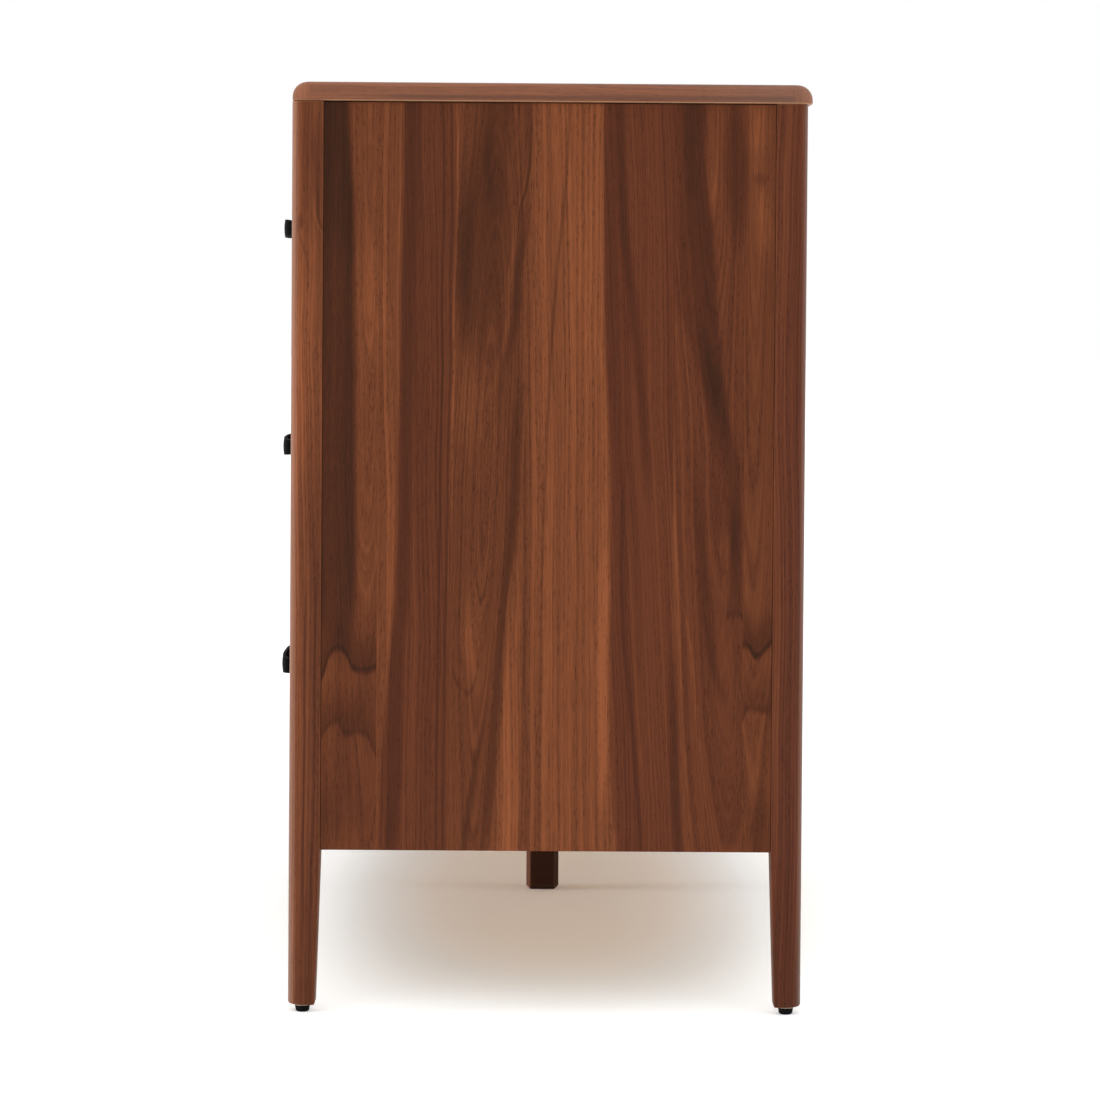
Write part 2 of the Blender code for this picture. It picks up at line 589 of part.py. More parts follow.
def make_pull(name, axis):
    """Bow pull: a crowned strap lofted along its bow, narrower and thicker at the feet."""
    path = pull_path()
    bm = bmesh.new()
    rings = []
    for index, point in enumerate(path):
        along = (path[min(index + 1, len(path) - 1)] - path[max(index - 1, 0)]).normalized()
        if index in (0, len(path) - 1):
            along = Vector((0, 1 if index == 0 else -1))
        inward = Vector((-along.y, along.x))
        share = abs(point.x) / (PULL_LENGTH / 2)
        half_height = PULL_HEIGHT / 2 * (1 - PULL_END_NARROWING * share ** PULL_NARROWING_POWER)
        thickness = PULL_THICKNESS + (PULL_FOOT_THICKNESS - PULL_THICKNESS) * share ** PULL_THICKENING_POWER
        rings.append(pull_section(bm, axis, point, inward, half_height, thickness))
    for ring, following in zip(rings, rings[1:]):
        count = len(ring)
        for i in range(count):
            j = (i + 1) % count
            bm.faces.new((ring[i], ring[j], following[j], following[i]))
    bm.faces.new(rings[0])
    bm.faces.new(rings[-1])
    pull = object_from_bmesh(name, bm, DRESSER, "black_metal", axis)
    pull.data.shade_smooth()
    pull.data.set_sharp_from_angle(angle=SHARP_ANGLE)


def pull_section(bm, axis, point, inward, half_height, thickness):
    """One cross-section of the strap: a crowned outer face and a flat inner one."""
    def vertex(depth, rise):
        spot = point + inward * depth
        return bm.verts.new((axis.location.x + spot.x, axis.location.y - FIT - spot.y,
                             axis.location.z - PULL_DROP + rise))

    shares = [2 * i / (PULL_FACE_POINTS - 1) - 1 for i in range(PULL_FACE_POINTS)]
    outer = [vertex(-PULL_CROWN * (1 - share ** 2), share * half_height) for share in shares]
    inner = [vertex(thickness, half_height), vertex(thickness, -half_height)]
    return outer + inner


for old in list(bpy.data.objects):
    bpy.data.objects.remove(old, do_unlink=True)
DRESSER = new_collection("six_drawer_dresser")
CUTTERS = new_collection("cutters")

# Places shared by the joints and the pieces that fit them
GLIDE_X = POST_OUTER_X - (POST_WIDTH - FOOT_TAPER) / 2
GLIDE_INSET = (POST_DEPTH - FOOT_TAPER) / 2 + GLIDE_OFFSET
FRONT_RAIL_Y = (FRONT_Y, FRONT_Y + RAIL_THICKNESS)
FRONT_RAIL_Z = (CASE_BOTTOM, RAIL_TOP)
REAR_RAIL_Y = (SHELF_REAR_Y - RAIL_THICKNESS, SHELF_REAR_Y)
REAR_RAIL_Z = (CASE_BOTTOM, FLOOR_BOTTOM - FIT)
FRONT_STRETCHER_Y = (SHELF_FRONT_Y, SHELF_FRONT_Y + STRETCHER_WIDTH)
REAR_STRETCHER_Y = (SHELF_REAR_Y - STRETCHER_WIDTH, SHELF_REAR_Y)
DUST_LEVELS = []
for row_number in range(1, len(ROWS)):
    dust_top = RAIL_TOP + FRONT_GAP + row_number * ROW_PITCH + DUST_LAP
    DUST_LEVELS.append((dust_top - DUST_PANEL_THICKNESS, dust_top))

make_top()
for side_name, side_sign in zip(COLUMNS, (-1, 1)):
    for end_name, end_sign in (("front", -1), ("rear", 1)):
        make_post(f"post_{end_name}_{side_name}", side_sign, end_sign)
        make_glide(f"glide_{end_name}_{side_name}", side_sign, end_sign)
    make_side_panel(f"side_panel_{side_name}", side_sign)
    for row_name, dust_level in zip(ROWS[1:], DUST_LEVELS):
        make_dust_panel(f"dust_panel_{row_name}_{side_name}", side_sign, dust_level)
    for row_number in range(len(ROWS)):
        make_drawer(row_number, side_sign)
make_back_panel()
make_bottom_panel()
make_partition()
make_rail("front_bottom_rail", FRONT_RAIL_Y, FRONT_RAIL_Z, "walnut")
make_rail("rear_bottom_rail", REAR_RAIL_Y, REAR_RAIL_Z, "birch")
make_stretcher("front_top_stretcher", FRONT_STRETCHER_Y, POST_FRONT_INNER_Y + FIT)
make_stretcher("rear_top_stretcher", REAR_STRETCHER_Y, POST_REAR_INNER_Y - FIT)
make_centre_leg()
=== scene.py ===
"""Looks of the six-drawer dresser: wood, metal and nylon finishes, small fittings, floor, light and camera.

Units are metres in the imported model's frame: +Z is up, the drawers face -Y, and the photographed side is +X.
"""

import math
import random
from collections import namedtuple

import bmesh
import bpy
from mathutils import Matrix, Vector


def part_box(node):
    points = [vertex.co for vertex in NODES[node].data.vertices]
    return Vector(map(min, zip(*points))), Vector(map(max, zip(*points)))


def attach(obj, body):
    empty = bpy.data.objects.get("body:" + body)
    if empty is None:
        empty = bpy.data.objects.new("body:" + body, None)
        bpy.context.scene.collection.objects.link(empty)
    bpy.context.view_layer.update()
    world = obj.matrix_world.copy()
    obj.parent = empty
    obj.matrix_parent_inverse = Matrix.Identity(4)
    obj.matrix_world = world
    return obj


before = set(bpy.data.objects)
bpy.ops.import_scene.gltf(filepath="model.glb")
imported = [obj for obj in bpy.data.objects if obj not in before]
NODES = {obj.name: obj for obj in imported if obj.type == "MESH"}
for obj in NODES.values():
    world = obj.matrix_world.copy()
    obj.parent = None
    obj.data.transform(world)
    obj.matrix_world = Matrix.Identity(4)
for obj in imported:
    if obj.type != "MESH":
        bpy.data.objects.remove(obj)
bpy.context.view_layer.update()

AXES = ("X", "Y", "Z")
RIGHT_ANGLE = math.radians(90)
WHITE = (1.0, 1.0, 1.0, 1.0)

# Camera, fitted to the photograph's edges
CAMERA_PLACE = (4.3674, -0.0028, 0.7218)
CAMERA_LENS_MM = 120.74
CAMERA_SENSOR_MM = 36.0
CAMERA_PITCH = math.radians(1.602)  # downwards
CAMERA_YAW = math.radians(0.271)  # towards the rear of the dresser
CAMERA_ROLL = math.radians(0.404)
CAMERA_SHIFT_Y = -0.1516

# A lamp: the direction it lies in, its spread in degrees, and its level, where 1 shows colours as written
Lamp = namedtuple("Lamp", "name towards spread level")
LAMPS = (
    Lamp("overhead", towards=(0.5, 0.0, 0.87), spread=85, level=0.57),
    Lamp("front", towards=(0.08, -0.99, 0.05), spread=24, level=0.95),
    Lamp("rear", towards=(0.10, 0.99, 0.05), spread=24, level=0.45),
)

# Levels of the world: even light, backdrop, and the unlit room that reflections show on the camera's side
WORLD_LEVEL = 0.37
BACKDROP_LEVEL = 1.0
ROOM_LEVEL = 0.06
ROOM_START = -0.20  # a direction's X, where the backdrop starts to turn into the room and where it has
ROOM_END = 0.45

# Floor, and the glow that the camera sees on it, on top of its lit colour; growing away from the dresser, the
# glow paints the shadow's outline
FLOOR_COLOUR = (0.91, 0.93, 0.94, 1.0)
FLOOR_ROUGHNESS = 0.9
FLOOR_RADIUS = 30.0
FLOOR_SIDES = 64
FLOOR_LIFT = 0.17  # glow under the dresser
BACKDROP_LIFT = 0.42  # glow away from the dresser
LIFT_MIDDLE = 0.03  # where the glow is least, across the depth
LIFT_HALF_WIDTH = 0.55  # how far the least glow reaches along the width and the depth
LIFT_HALF_DEPTH = 0.20
LIFT_GROWTH = 1.8  # times as far out, the glow is at its full
PAINTED_BOUNCE_TINT = (1.0, 0.70, 0.57, 1.0)  # of the glow under the dresser: painted warm bounce light from the wood
BOUNCE_FADE_START = 0.6  # where the painted bounce light starts to fade and where it ends, in the same measure as the growth
BOUNCE_FADE_END = 1.3

# Colours as they show, in sRGB
UMBER = (62, 36, 24)
BROWN = (90, 49, 31)
RUSSET = (96, 49, 33)
WARM = (116, 65, 40)
HONEY = (150, 86, 53)
PORE = (52, 28, 20)
# pale line of the top's lower arris: wear and painted highlight
ARRIS_WEAR_AND_HIGHLIGHT = (190, 142, 106)
# pale edges: wear on the fronts, painted highlight on the posts and the centre leg
EDGE_WEAR_AND_HIGHLIGHT = (176, 120, 84)
# pale painted sheen of the top's lippings
LIP_PAINTED_SHEEN = (150, 135, 124)
# pale painted highlight along the posts' corners and the centre leg's front
CORNER_HIGHLIGHT = (205, 175, 155)
BIRCH_PALE = (222, 196, 158)
BIRCH_WARM = (206, 174, 131)
BIRCH_LINE = (180, 144, 102)
PLY_END = (150, 112, 76)
COAT_DEEP = (9, 9, 8)
COAT_SMEARED = (15, 14, 13)
# pale edges of the pulls: painted highlight and slight wear
COAT_WORN_AND_LIT = (150, 146, 138)
NYLON = (17, 16, 15)
NYLON_SCUFFED = (52, 50, 47)
FIBRE_DARK = (150, 140, 118)
FIBRE_PALE = (205, 196, 172)

# Colour stops of the woods, by value
BROWN_WALNUT = ((0.0, UMBER), (0.40, BROWN), (0.68, WARM), (1.0, HONEY))
RED_WALNUT = ((0.0, UMBER), (0.45, RUSSET), (1.0, WARM))
LIPPING_WALNUT = ((0.3, BROWN), (0.7, WARM))
BIRCH_STOPS = ((0.0, BIRCH_PALE), (1.0, BIRCH_WARM))

# A noise: how often it changes in a metre across the grain and along it, its detail, roughness and seed
Figure = namedtuple("Figure", "across along detail roughness seed", defaults=(0.5, 0.0))
NOISE_MIDDLE = 0.5

# A smooth step: the values where it starts and ends, and what it gives there
Step = namedtuple("Step", "low high to_low to_high", defaults=(0.0, 1.0))

# A surface: its roughness, what its marks add to that, the depth of its relief, and its gloss
Surface = namedtuple("Surface", "roughness marked relief gloss")
PANEL_SURFACE = Surface(0.40, 0.16, 0.00012, 0.06)
POST_SURFACE = PANEL_SURFACE._replace(gloss=0.09)
TOP_SURFACE = PANEL_SURFACE._replace(gloss=0.10)
BIRCH_SURFACE = Surface(0.42, 0.20, 0.00010, 0.30)
PLY_SURFACE = Surface(0.50, 0.15, 0.00010, 0.30)
COAT_SURFACE = Surface(0.46, 0.20, 0.00008, 0.01)
NYLON_SURFACE = Surface(0.50, 0.20, 0.00010, 0.06)
FIBRE_SURFACE = Surface(0.70, 0.20, 0.00005, 0.20)
BUMP_STRENGTH = 0.5

# Lighter edges, wear on the fronts and painted highlight on the posts and leg: how far from an edge they
# reach, and their share
EDGE_SAMPLES = 4
EDGE_TURN = Step(1.0, 0.75)  # cosine between the true normal and the one rounded over the edge
WOOD_EDGE = 0.0025
FRONT_WEAR = 0.12
# painted highlight on the posts' and the leg's edges, with some wear
POST_WEAR_AND_HIGHLIGHT = 0.35
COAT_EDGE = 0.0006
COAT_WEAR_AND_HIGHLIGHT = 0.04

# Walnut: how the rings stray in metres, and how much each noise moves the value
WANDER = Figure(7.0, 2.2, detail=2.0, seed=3.1)
RIPPLE = Figure(40.0, 7.0, detail=1.0, seed=5.7)
BAND = Figure(60.0, 0.8, detail=2.0, roughness=0.55)
LINE = Figure(420.0, 1.4, detail=2.0, roughness=0.6)
HAIR = Figure(1300.0, 2.0, detail=1.0)
FIBRE = Figure(900.0, 45.0, detail=1.0)
VESSEL = Figure(800.0, 150.0, detail=1.0)
RING_WANDER = 0.022
RING_RIPPLE = 0.004
BAND_SHARE = 0.50
LINE_SHARE = 0.58
HAIR_SHARE = 0.30
FIBRE_SHARE = 0.32
PORE_SHARE = 0.38
VESSEL_OPEN = Step(0.54, 0.68)
LINE_OPEN = Step(0.60, 0.40)  # pores gather in the dark lines
LINE_SHADE = Step(0.34, 0.66, 0.75, 1.25)  # how much of a shade the dark and the light lines take
SHADE_START_HEIGHT = 0.25  # where painted shade starts to darken the legs towards the floor
FOOT_PAINTED_SHADE = 0.16

# Streaks, clouds and curls: noises that make them stray, how far, and how they fade
STREAK_WANDER = Figure(6.0, 6.0, detail=2.0, seed=8.3)
STREAK_SWAY = 0.006
STREAK_EDGE = 0.0042  # half the blur of a streak's sharp edge
STREAK_CORE = 0.40  # share of a streak's reach that stays dark
STREAK_END = 0.05  # half the fade at a streak's ends
CLOUD_RAGGED = Figure(30.0, 6.0, detail=3.0, seed=7.7)
CLOUD_SWAY = 1.2  # in half widths
CLOUD_FADE = Step(1.25, 0.25)
CURL_WAVER = Figure(45.0, 20.0, detail=2.0, seed=2.4)
CURL_SWAY = 0.005
CURL_PATCH = Figure(70.0, 30.0, detail=2.0, seed=4.4)
PATCH_SHARE = Step(0.3, 0.7, 0.4, 1.25)
CURL_CORE = Step(0.0060, 0.0008)
HALO_EDGE = Step(-0.003, 0.002)
HALO_FADE = Step(0.050, 0.0)

# Veneer on the surfaces that the photograph doesn't show: the ranges that chance picks from
LEAF_WIDTH = 0.072
LEAF_SEEDS = (0, 60)
CHANCE_TONES = (0.50, 0.72)
CHANCE_REDS = (0.0, 0.5)
CHANCE_HEARTS = (-0.10, 0.0, 0.10)  # from the leaf's middle
CHANCE_CONES = (0.0, 0.0, 0.05)
CHANCE_LEANS = (-0.015, 0.015)
CHANCE_STREAKS = 2  # on each leaf
CHANCE_PLACES = (-0.5, 0.5)  # in leaf widths from the leaf's middle
CHANCE_LENGTHS = (0.3, 0.9)  # share of the leaf's length
CHANCE_STOPS = (0.0, 0.35, 0.7, 1.0)  # shares of a streak's length where its path may turn
CHANCE_SWAYS = (-0.006, 0.006)
CHANCE_SIDES = (-1, 1)
CHANCE_REACHES = (0.003, 0.018)
CHANCE_STRENGTHS = (0.12, 0.34)

# Seeds of the veneers: of their leaves, where chance lays them, and of their grain
FRONT_LEAF_SEED = 11
FRONT_GRAIN_SEED = 12
TOP_LEAF_SEED = 21
TOP_GRAIN_SEED = 22
LEFT_LEAF_SEED = 31
LEFT_GRAIN_SEED = 5
RIGHT_GRAIN_SEED = 3

# Birch and its plywood
BIRCH_SWEEP = Figure(14.0, 1.5, detail=3.0)
BIRCH_LINES = Figure(160.0, 3.0, detail=2.0)
BIRCH_FLECKS = Figure(700.0, 60.0, detail=1.0)
SWEEP_SPAN = Step(0.3, 0.7)
LINES_MARK = Step(0.5, 0.75, 0.0, 0.35)
FLECKS_MARK = Step(0.6, 0.75, 0.0, 0.25)
PLY_SWEEP = Figure(9.0, 2.0, detail=3.0)
PLY_LINES = Figure(130.0, 3.0, detail=2.0)
PLY_MARK = Step(0.45, 0.75, 0.0, 0.4)
PLY_THICKNESS = 0.0015
PLY_FACE = Step(0.5, 0.8)  # the normal's share along the stack, from an edge to a face
LIPPING = 0.012  # depth of the walnut lipping on the dust panels

# Black metal, nylon and fibre
COAT_PEEL = Figure(900.0, 900.0, detail=2.0)
COAT_SMEAR = Figure(30.0, 30.0, detail=3.0)
NYLON_GRAIN = Figure(1400.0, 1400.0, detail=2.0)
SCUFF_HEIGHT = Step(0.002, 0.0)
SCUFF_GRAIN = Step(0.45, 0.65)
SCUFF_SHARE = 0.35
FIBRE_FLECKS = Figure(900.0, 2500.0, detail=3.0)

# One leaf of veneer: tone is 0 for dark and 1 for light, red is the share of russet, heart is where the
# log's middle lies across the panel, cone how fast the rings close along the leaf, apex where they close,
# lean how far the grain drifts sideways for each metre along it
Leaf = namedtuple("Leaf", "tone red heart cone apex lean")

# A curved joint between leaves: its (along, across) points, and half the blur of the tone there
Joint = namedtuple("Joint", "path blend")

# A streak of pigment, or a light streak of painted highlight: its sharp edge as (along, across) points, how
# far it reaches to the rear (or, below 0, to the front), its strength (below 0 for a light one), and the
# stretch that it fills
Streak = namedtuple("Streak", "path reach strength start end")

# A soft dark patch: its middle, its half width and half length, and its strength (below 0 for a light one)
Cloud = namedtuple("Cloud", "across along width length strength")

# A wavy dark line across the grain as (across, along) points, where the cut grazes a ring, with the
# strength of the line and of the shade above it, and the leaf's two edges
Curl = namedtuple("Curl", "path strength halo start end")

# A painted highlight along an upright corner: how far from the middle it lies, where the highlight starts and
# where it is at its full across the depth, and its share
Corner = namedtuple("Corner", "inner start end share")

# A solid board: where its log's middle lies across the grain, its tone, share of russet and seed, the
# strength of its fine lines, the axis of its grain, and the marks on it
Board = namedtuple("Board", "heart tone red seed lines grain streaks clouds corner",
                   defaults=(LINE_SHARE, "Z", (), (), None))

# Plywood: the axis that its plies stack along, the axis of its face grain, and its seed
Ply = namedtuple("Ply", "stack grain seed")

# A screw with a button head: the radius and height of the head, and half the width of its socket
Screw = namedtuple("Screw", "radius height socket")

# The photographed side panel, from front to rear; a straight joint is just its place across the panel
SIDE_JOINTS = (
    -0.154,
    Joint(((0.91, -0.129), (0.75, -0.131), (0.52, -0.134), (0.37, -0.139), (0.29, -0.146), (0.16, -0.152)),
          0.002),
    Joint(((0.91, -0.078), (0.75, -0.079), (0.52, -0.083), (0.16, -0.084)), 0.002),
    Joint(((0.91, -0.007), (0.52, -0.012), (0.41, -0.026), (0.31, -0.034), (0.16, -0.042)), 0.011),
    Joint(((0.91, 0.065), (0.70, 0.067), (0.52, 0.074), (0.29, 0.076), (0.16, 0.084)), 0.003),
    Joint(((0.91, 0.137), (0.16, 0.134)), 0.002),
    0.205,
)
SIDE_LEAVES = [Leaf(*row) for row in (
    # tone, red, heart, cone, apex, lean
    (0.66, 0.15, -0.163, 0.03, 0.95, 0.00),
    (0.70, 0.10, -0.260, 0.00, 0.50, 0.00),
    (0.52, 0.35, -0.240, 0.00, 0.50, 0.01),
    (0.58, 0.00, -0.064, 0.06, 0.55, -0.03),
    (0.78, 0.00, 0.160, 0.00, 0.50, 0.01),
    (0.51, 0.50, 0.280, 0.00, 0.50, 0.04),
    (0.56, 0.30, 0.196, 0.04, 1.05, 0.03),
    (0.60, 0.10, 0.214, 0.035, 0.95, 0.00),
)]
# Dark to the rear of this edge, light to the front of it
RIBBON_EDGE = ((0.80, -0.013), (0.79, -0.015), (0.76, -0.017), (0.73, -0.021), (0.70, -0.022), (0.66, -0.028))
SIDE_STREAKS = [Streak(*row) for row in (
    # path, reach, strength, start, end
    (((0.91, -0.185), (0.84, -0.182), (0.77, -0.179), (0.52, -0.176), (0.37, -0.177)),
     -0.090, 0.52, 0.37, 0.94),
    (((0.91, -0.185), (0.84, -0.182), (0.77, -0.179)), -0.059, 0.18, 0.76, 0.94),
    (SIDE_JOINTS[1].path, 0.019, 0.22, 0.36, 0.94),
    (((0.40, -0.128), (0.25, -0.129), (0.19, -0.131), (0.16, -0.132)), -0.017, 0.26, 0.14, 0.36),
    (((0.91, -0.094), (0.70, -0.092), (0.52, -0.094), (0.16, -0.096)), 0.003, 0.26, 0.14, 0.94),
    (((0.91, -0.085), (0.70, -0.084), (0.52, -0.087), (0.16, -0.089)), 0.003, 0.24, 0.14, 0.94),
    (((0.91, -0.080), (0.80, -0.079), (0.67, -0.081), (0.52, -0.083)), 0.003, -0.26, 0.50, 0.94),
    (((0.91, -0.025), (0.85, -0.029), (0.79, -0.034)), -0.024, 0.12, 0.78, 0.94),
    (((0.89, -0.040), (0.86, -0.043), (0.84, -0.0445), (0.81, -0.0445), (0.795, -0.050)),
     -0.012, 0.26, 0.81, 0.88),
    (((0.79, -0.075), (0.74, -0.076), (0.67, -0.076)), 0.019, 0.26, 0.68, 0.80),
    (((0.91, -0.008), (0.84, -0.007), (0.80, -0.011)), -0.010, 0.14, 0.82, 0.94),
    (((0.88, -0.006), (0.84, -0.006), (0.81, -0.010), (0.79, -0.015), (0.76, -0.017)),
     -0.003, 0.42, 0.78, 0.88),
    (RIBBON_EDGE, 0.012, 0.28, 0.66, 0.79),
    (RIBBON_EDGE, -0.007, -0.18, 0.62, 0.79),
    (((0.62, -0.010), (0.57, -0.014), (0.50, -0.016), (0.41, -0.024), (0.31, -0.0315), (0.19, -0.039)),
     -0.012, 0.26, 0.16, 0.61),
    (((0.29, -0.046), (0.26, -0.051), (0.21, -0.058), (0.17, -0.064)), -0.008, 0.22, 0.15, 0.28),
    (((0.90, 0.029), (0.85, 0.028), (0.74, 0.021), (0.55, 0.009), (0.31, 0.005), (0.16, 0.006)),
     0.004, 0.22, 0.14, 0.94),
    (((0.52, -0.010), (0.36, -0.011), (0.16, -0.012)), 0.003, 0.12, 0.14, 0.42),
    (((0.91, 0.067), (0.70, 0.068), (0.60, 0.071)), 0.012, 0.08, 0.58, 0.94),
    (((0.91, 0.085), (0.79, 0.088), (0.71, 0.098), (0.61, 0.108), (0.55, 0.113)), -0.012, 0.24, 0.53, 0.94),
    (((0.52, 0.089), (0.39, 0.089), (0.31, 0.096), (0.21, 0.105), (0.16, 0.109)), -0.005, 0.22, 0.14, 0.53),
    (((0.41, 0.095), (0.31, 0.100), (0.25, 0.105), (0.19, 0.110)), 0.003, -0.14, 0.21, 0.45),
    (((0.91, 0.167), (0.85, 0.166), (0.79, 0.170), (0.74, 0.174), (0.68, 0.179), (0.59, 0.189),
      (0.53, 0.206)),
     -0.026, 0.34, 0.55, 0.94),
    (((0.91, 0.137), (0.77, 0.137), (0.70, 0.138)), 0.024, 0.16, 0.60, 0.94),
    (((0.52, 0.162), (0.45, 0.169), (0.37, 0.176), (0.32, 0.188)), -0.011, 0.24, 0.32, 0.52),
    (((0.36, 0.132), (0.31, 0.133), (0.24, 0.135), (0.16, 0.139)), 0.013, 0.28, 0.14, 0.34),
    (((0.49, 0.137), (0.43, 0.141), (0.35, 0.154), (0.27, 0.161), (0.19, 0.169)), 0.005, -0.14, 0.20, 0.48),
    (((0.54, 0.190), (0.48, 0.192), (0.42, 0.193)), 0.014, 0.44, 0.43, 0.52),
)]
SIDE_CLOUDS = [Cloud(*row) for row in (
    # across, along, width, length, strength
    (-0.201, 0.18, 0.020, 0.069, 0.20),
    (-0.181, 0.25, 0.045, 0.110, 0.18),
    (-0.166, 0.26, 0.017, 0.050, -0.12),
    (-0.157, 0.70, 0.018, 0.088, -0.12),
    (-0.141, 0.53, 0.008, 0.324, -0.10),
    (-0.063, 0.60, 0.016, 0.065, -0.14),
    (-0.060, 0.37, 0.012, 0.061, -0.18),
    (-0.051, 0.77, 0.029, 0.147, 0.16),
    (0.050, 0.75, 0.015, 0.157, -0.10),
    (0.068, 0.33, 0.007, 0.177, -0.30),
    (0.170, 0.83, 0.008, 0.059, -0.08),
    (0.186, 0.46, 0.006, 0.022, -0.16),
    (0.196, 0.83, 0.012, 0.075, 0.22),
    (0.219, 0.868, 0.012, 0.025, -0.08),
    (0.2185, 0.822, 0.008, 0.007, 0.13),
    (0.222, 0.78, 0.010, 0.040, -0.14),
    (0.226, 0.18, 0.015, 0.044, 0.20),
)]
SIDE_CURLS = [Curl(*row) for row in (
    # path, strength, halo, start, end
    (((-0.212, 0.318), (-0.205, 0.337), (-0.199, 0.355), (-0.191, 0.360), (-0.183, 0.353), (-0.177, 0.341),
      (-0.166, 0.338), (-0.154, 0.342)),
     0.28, 0.32, -0.212, -0.154),
    (((-0.212, 0.259), (-0.206, 0.275), (-0.199, 0.284), (-0.192, 0.288), (-0.185, 0.276), (-0.173, 0.277),
      (-0.166, 0.277), (-0.159, 0.267), (-0.154, 0.252)),
     0.18, 0.20, -0.212, -0.154),
    (((-0.080, 0.352), (-0.076, 0.328), (-0.071, 0.322), (-0.065, 0.316), (-0.060, 0.320), (-0.056, 0.336),
      (-0.054, 0.357)),
     0.24, 0.0, -0.080, -0.054),
    (((0.188, 0.391), (0.193, 0.395), (0.198, 0.396), (0.205, 0.392)), 0.20, 0.08, 0.189, 0.205),
    (((0.203, 0.352), (0.208, 0.365), (0.212, 0.362), (0.219, 0.354), (0.225, 0.359), (0.233, 0.368)),
     0.36, 0.32, 0.205, 0.240),
    (((0.203, 0.282), (0.206, 0.292), (0.211, 0.302), (0.219, 0.301), (0.233, 0.300)),
     0.22, 0.18, 0.205, 0.240),
)]

# Figure of the photographed front post, with a swirl that is dark behind its edge and light in front of it
SWIRL_EDGE = ((0.80, -0.2156), (0.78, -0.2147), (0.773, -0.2122), (0.767, -0.2088), (0.76, -0.205))
POST_STREAKS = [Streak(*row) for row in (
    # the first, pale streak along the front corner is a painted highlight where the front light falls
    (((0.95, -0.2325), (0.0, -0.2325)), -0.012, -0.22, -0.10, 1.0),
    (SWIRL_EDGE, 0.004, 0.46, 0.775, 0.80),
    (SWIRL_EDGE, -0.003, -0.30, 0.765, 0.79),
    (((0.7635, -0.2323), (0.754, -0.2292), (0.743, -0.2255), (0.73, -0.2236), (0.70, -0.2225)),
     0.003, 0.32, 0.72, 0.755),
    (((0.45, -0.227), (0.31, -0.224), (0.16, -0.225)), 0.003, 0.28, 0.10, 0.42),
    (((0.47, -0.217), (0.31, -0.214), (0.16, -0.216)), 0.003, 0.24, 0.10, 0.44),
)]
# Painted highlight along the front corner of the centre leg, where the front light falls on its chamfer
LEG_LIT_STRIP = (
    Streak(((0.20, -0.002), (0.0, -0.002)), -0.008, -0.70, -0.10, 0.30),
)
# Painted highlights along the outer corners of the posts, and along the front of the centre leg
CORNER_FADE = 0.006
FRONT_CORNER = Corner(inner=0.742, start=-0.231, end=-0.2395, share=0.20)
REAR_CORNER = Corner(inner=0.742, start=0.259, end=0.265, share=0.12)
LEG_CORNER = Corner(inner=-CORNER_FADE, start=-0.0010, end=-0.0030, share=0.10)
POST_CLOUDS = [Cloud(*row) for row in (
    (-0.222, 0.65, 0.018, 0.140, -0.20),
    (-0.218, 0.85, 0.016, 0.085, 0.20),
    (-0.231, 0.777, 0.004, 0.010, 0.18),
)]

# The top: its solid lippings, the dark line along its end lippings, their pale painted sheen, and the pale
# line along its lower arris, partly wear and partly painted highlight
TOP_FRONT_LIP = 0.018
TOP_REAR_LIP = 0.019
TOP_END_LIP = 0.018
LONG_LIP = Board((-0.9, 0.85), tone=0.84, red=0.10, seed=4.0, grain="X")
END_LIP = Board((0.70, 0.80), tone=0.86, red=0.20, seed=9.0, grain="Y")
END_LINE_RISE = 0.0045  # above the underside
END_LINE_FADE = Step(0.0035, 0.0005)
END_LINE_START = Step(-0.19, -0.12)
END_LINE_SHADE = 0.26
SHEEN_START = 0.10  # from where the painted sheen grows towards the rear
SHEEN_SHARES = (0.14, 0.24)
# pale line along the lower arris: partly wear, partly painted highlight where the edge catches light
ARRIS_TOP = 0.0014  # above the underside, where it ends and where it is at its full
ARRIS_FULL = 0.0009
ARRIS_START = 0.024  # from the front, where it starts to grow and where it is at its full
ARRIS_END = 0.044
ARRIS_SHARES = (0.15, 0.75)

# Solid walnut of the case
BOARDS = {
    "post_front_right": Board((0.70, -0.30), tone=0.62, red=0.10, seed=1.0, lines=0.8,
                              streaks=POST_STREAKS, clouds=POST_CLOUDS, corner=FRONT_CORNER),
    "post_rear_right": Board((0.71, 0.33), tone=0.48, red=0.60, seed=2.0, lines=1.2, corner=REAR_CORNER),
    "post_front_left": Board((-0.70, -0.29), tone=0.58, red=0.15, seed=13.0, corner=FRONT_CORNER),
    "post_rear_left": Board((-0.71, 0.34), tone=0.50, red=0.45, seed=14.0, corner=REAR_CORNER),
    # very dark tone of the centre leg: painted shade, as it stands in the shade under the case
    "centre_leg": Board((0.05, 0.06), tone=0.02, red=0.0, seed=15.0, streaks=LEG_LIT_STRIP, corner=LEG_CORNER),
    "centre_stile": Board((0.04, -0.30), tone=0.52, red=0.20, seed=16.0),
    "front_bottom_rail": Board((-0.28, 0.10), tone=0.52, red=0.20, seed=17.0, grain="X"),
}

# Birch of the case and the drawers, by the seeds of its grain, and plywood
BIRCH_SEEDS = {"rear_bottom_rail": 1.0, "front_top_stretcher": 2.0, "rear_top_stretcher": 3.0}
DRAWER_SIDE_SEED = 7.0
DRAWER_BACK_SEED = 8.0
PANELS = {"back_panel": Ply("Y", "X", 4.0), "bottom_panel": Ply("Z", "X", 5.0),
          "centre_partition": Ply("X", "Z", 6.0)}
DUST_PLY = Ply("Z", "X", 9.0)
DRAWER_PLY = Ply("Z", "X", 10.0)

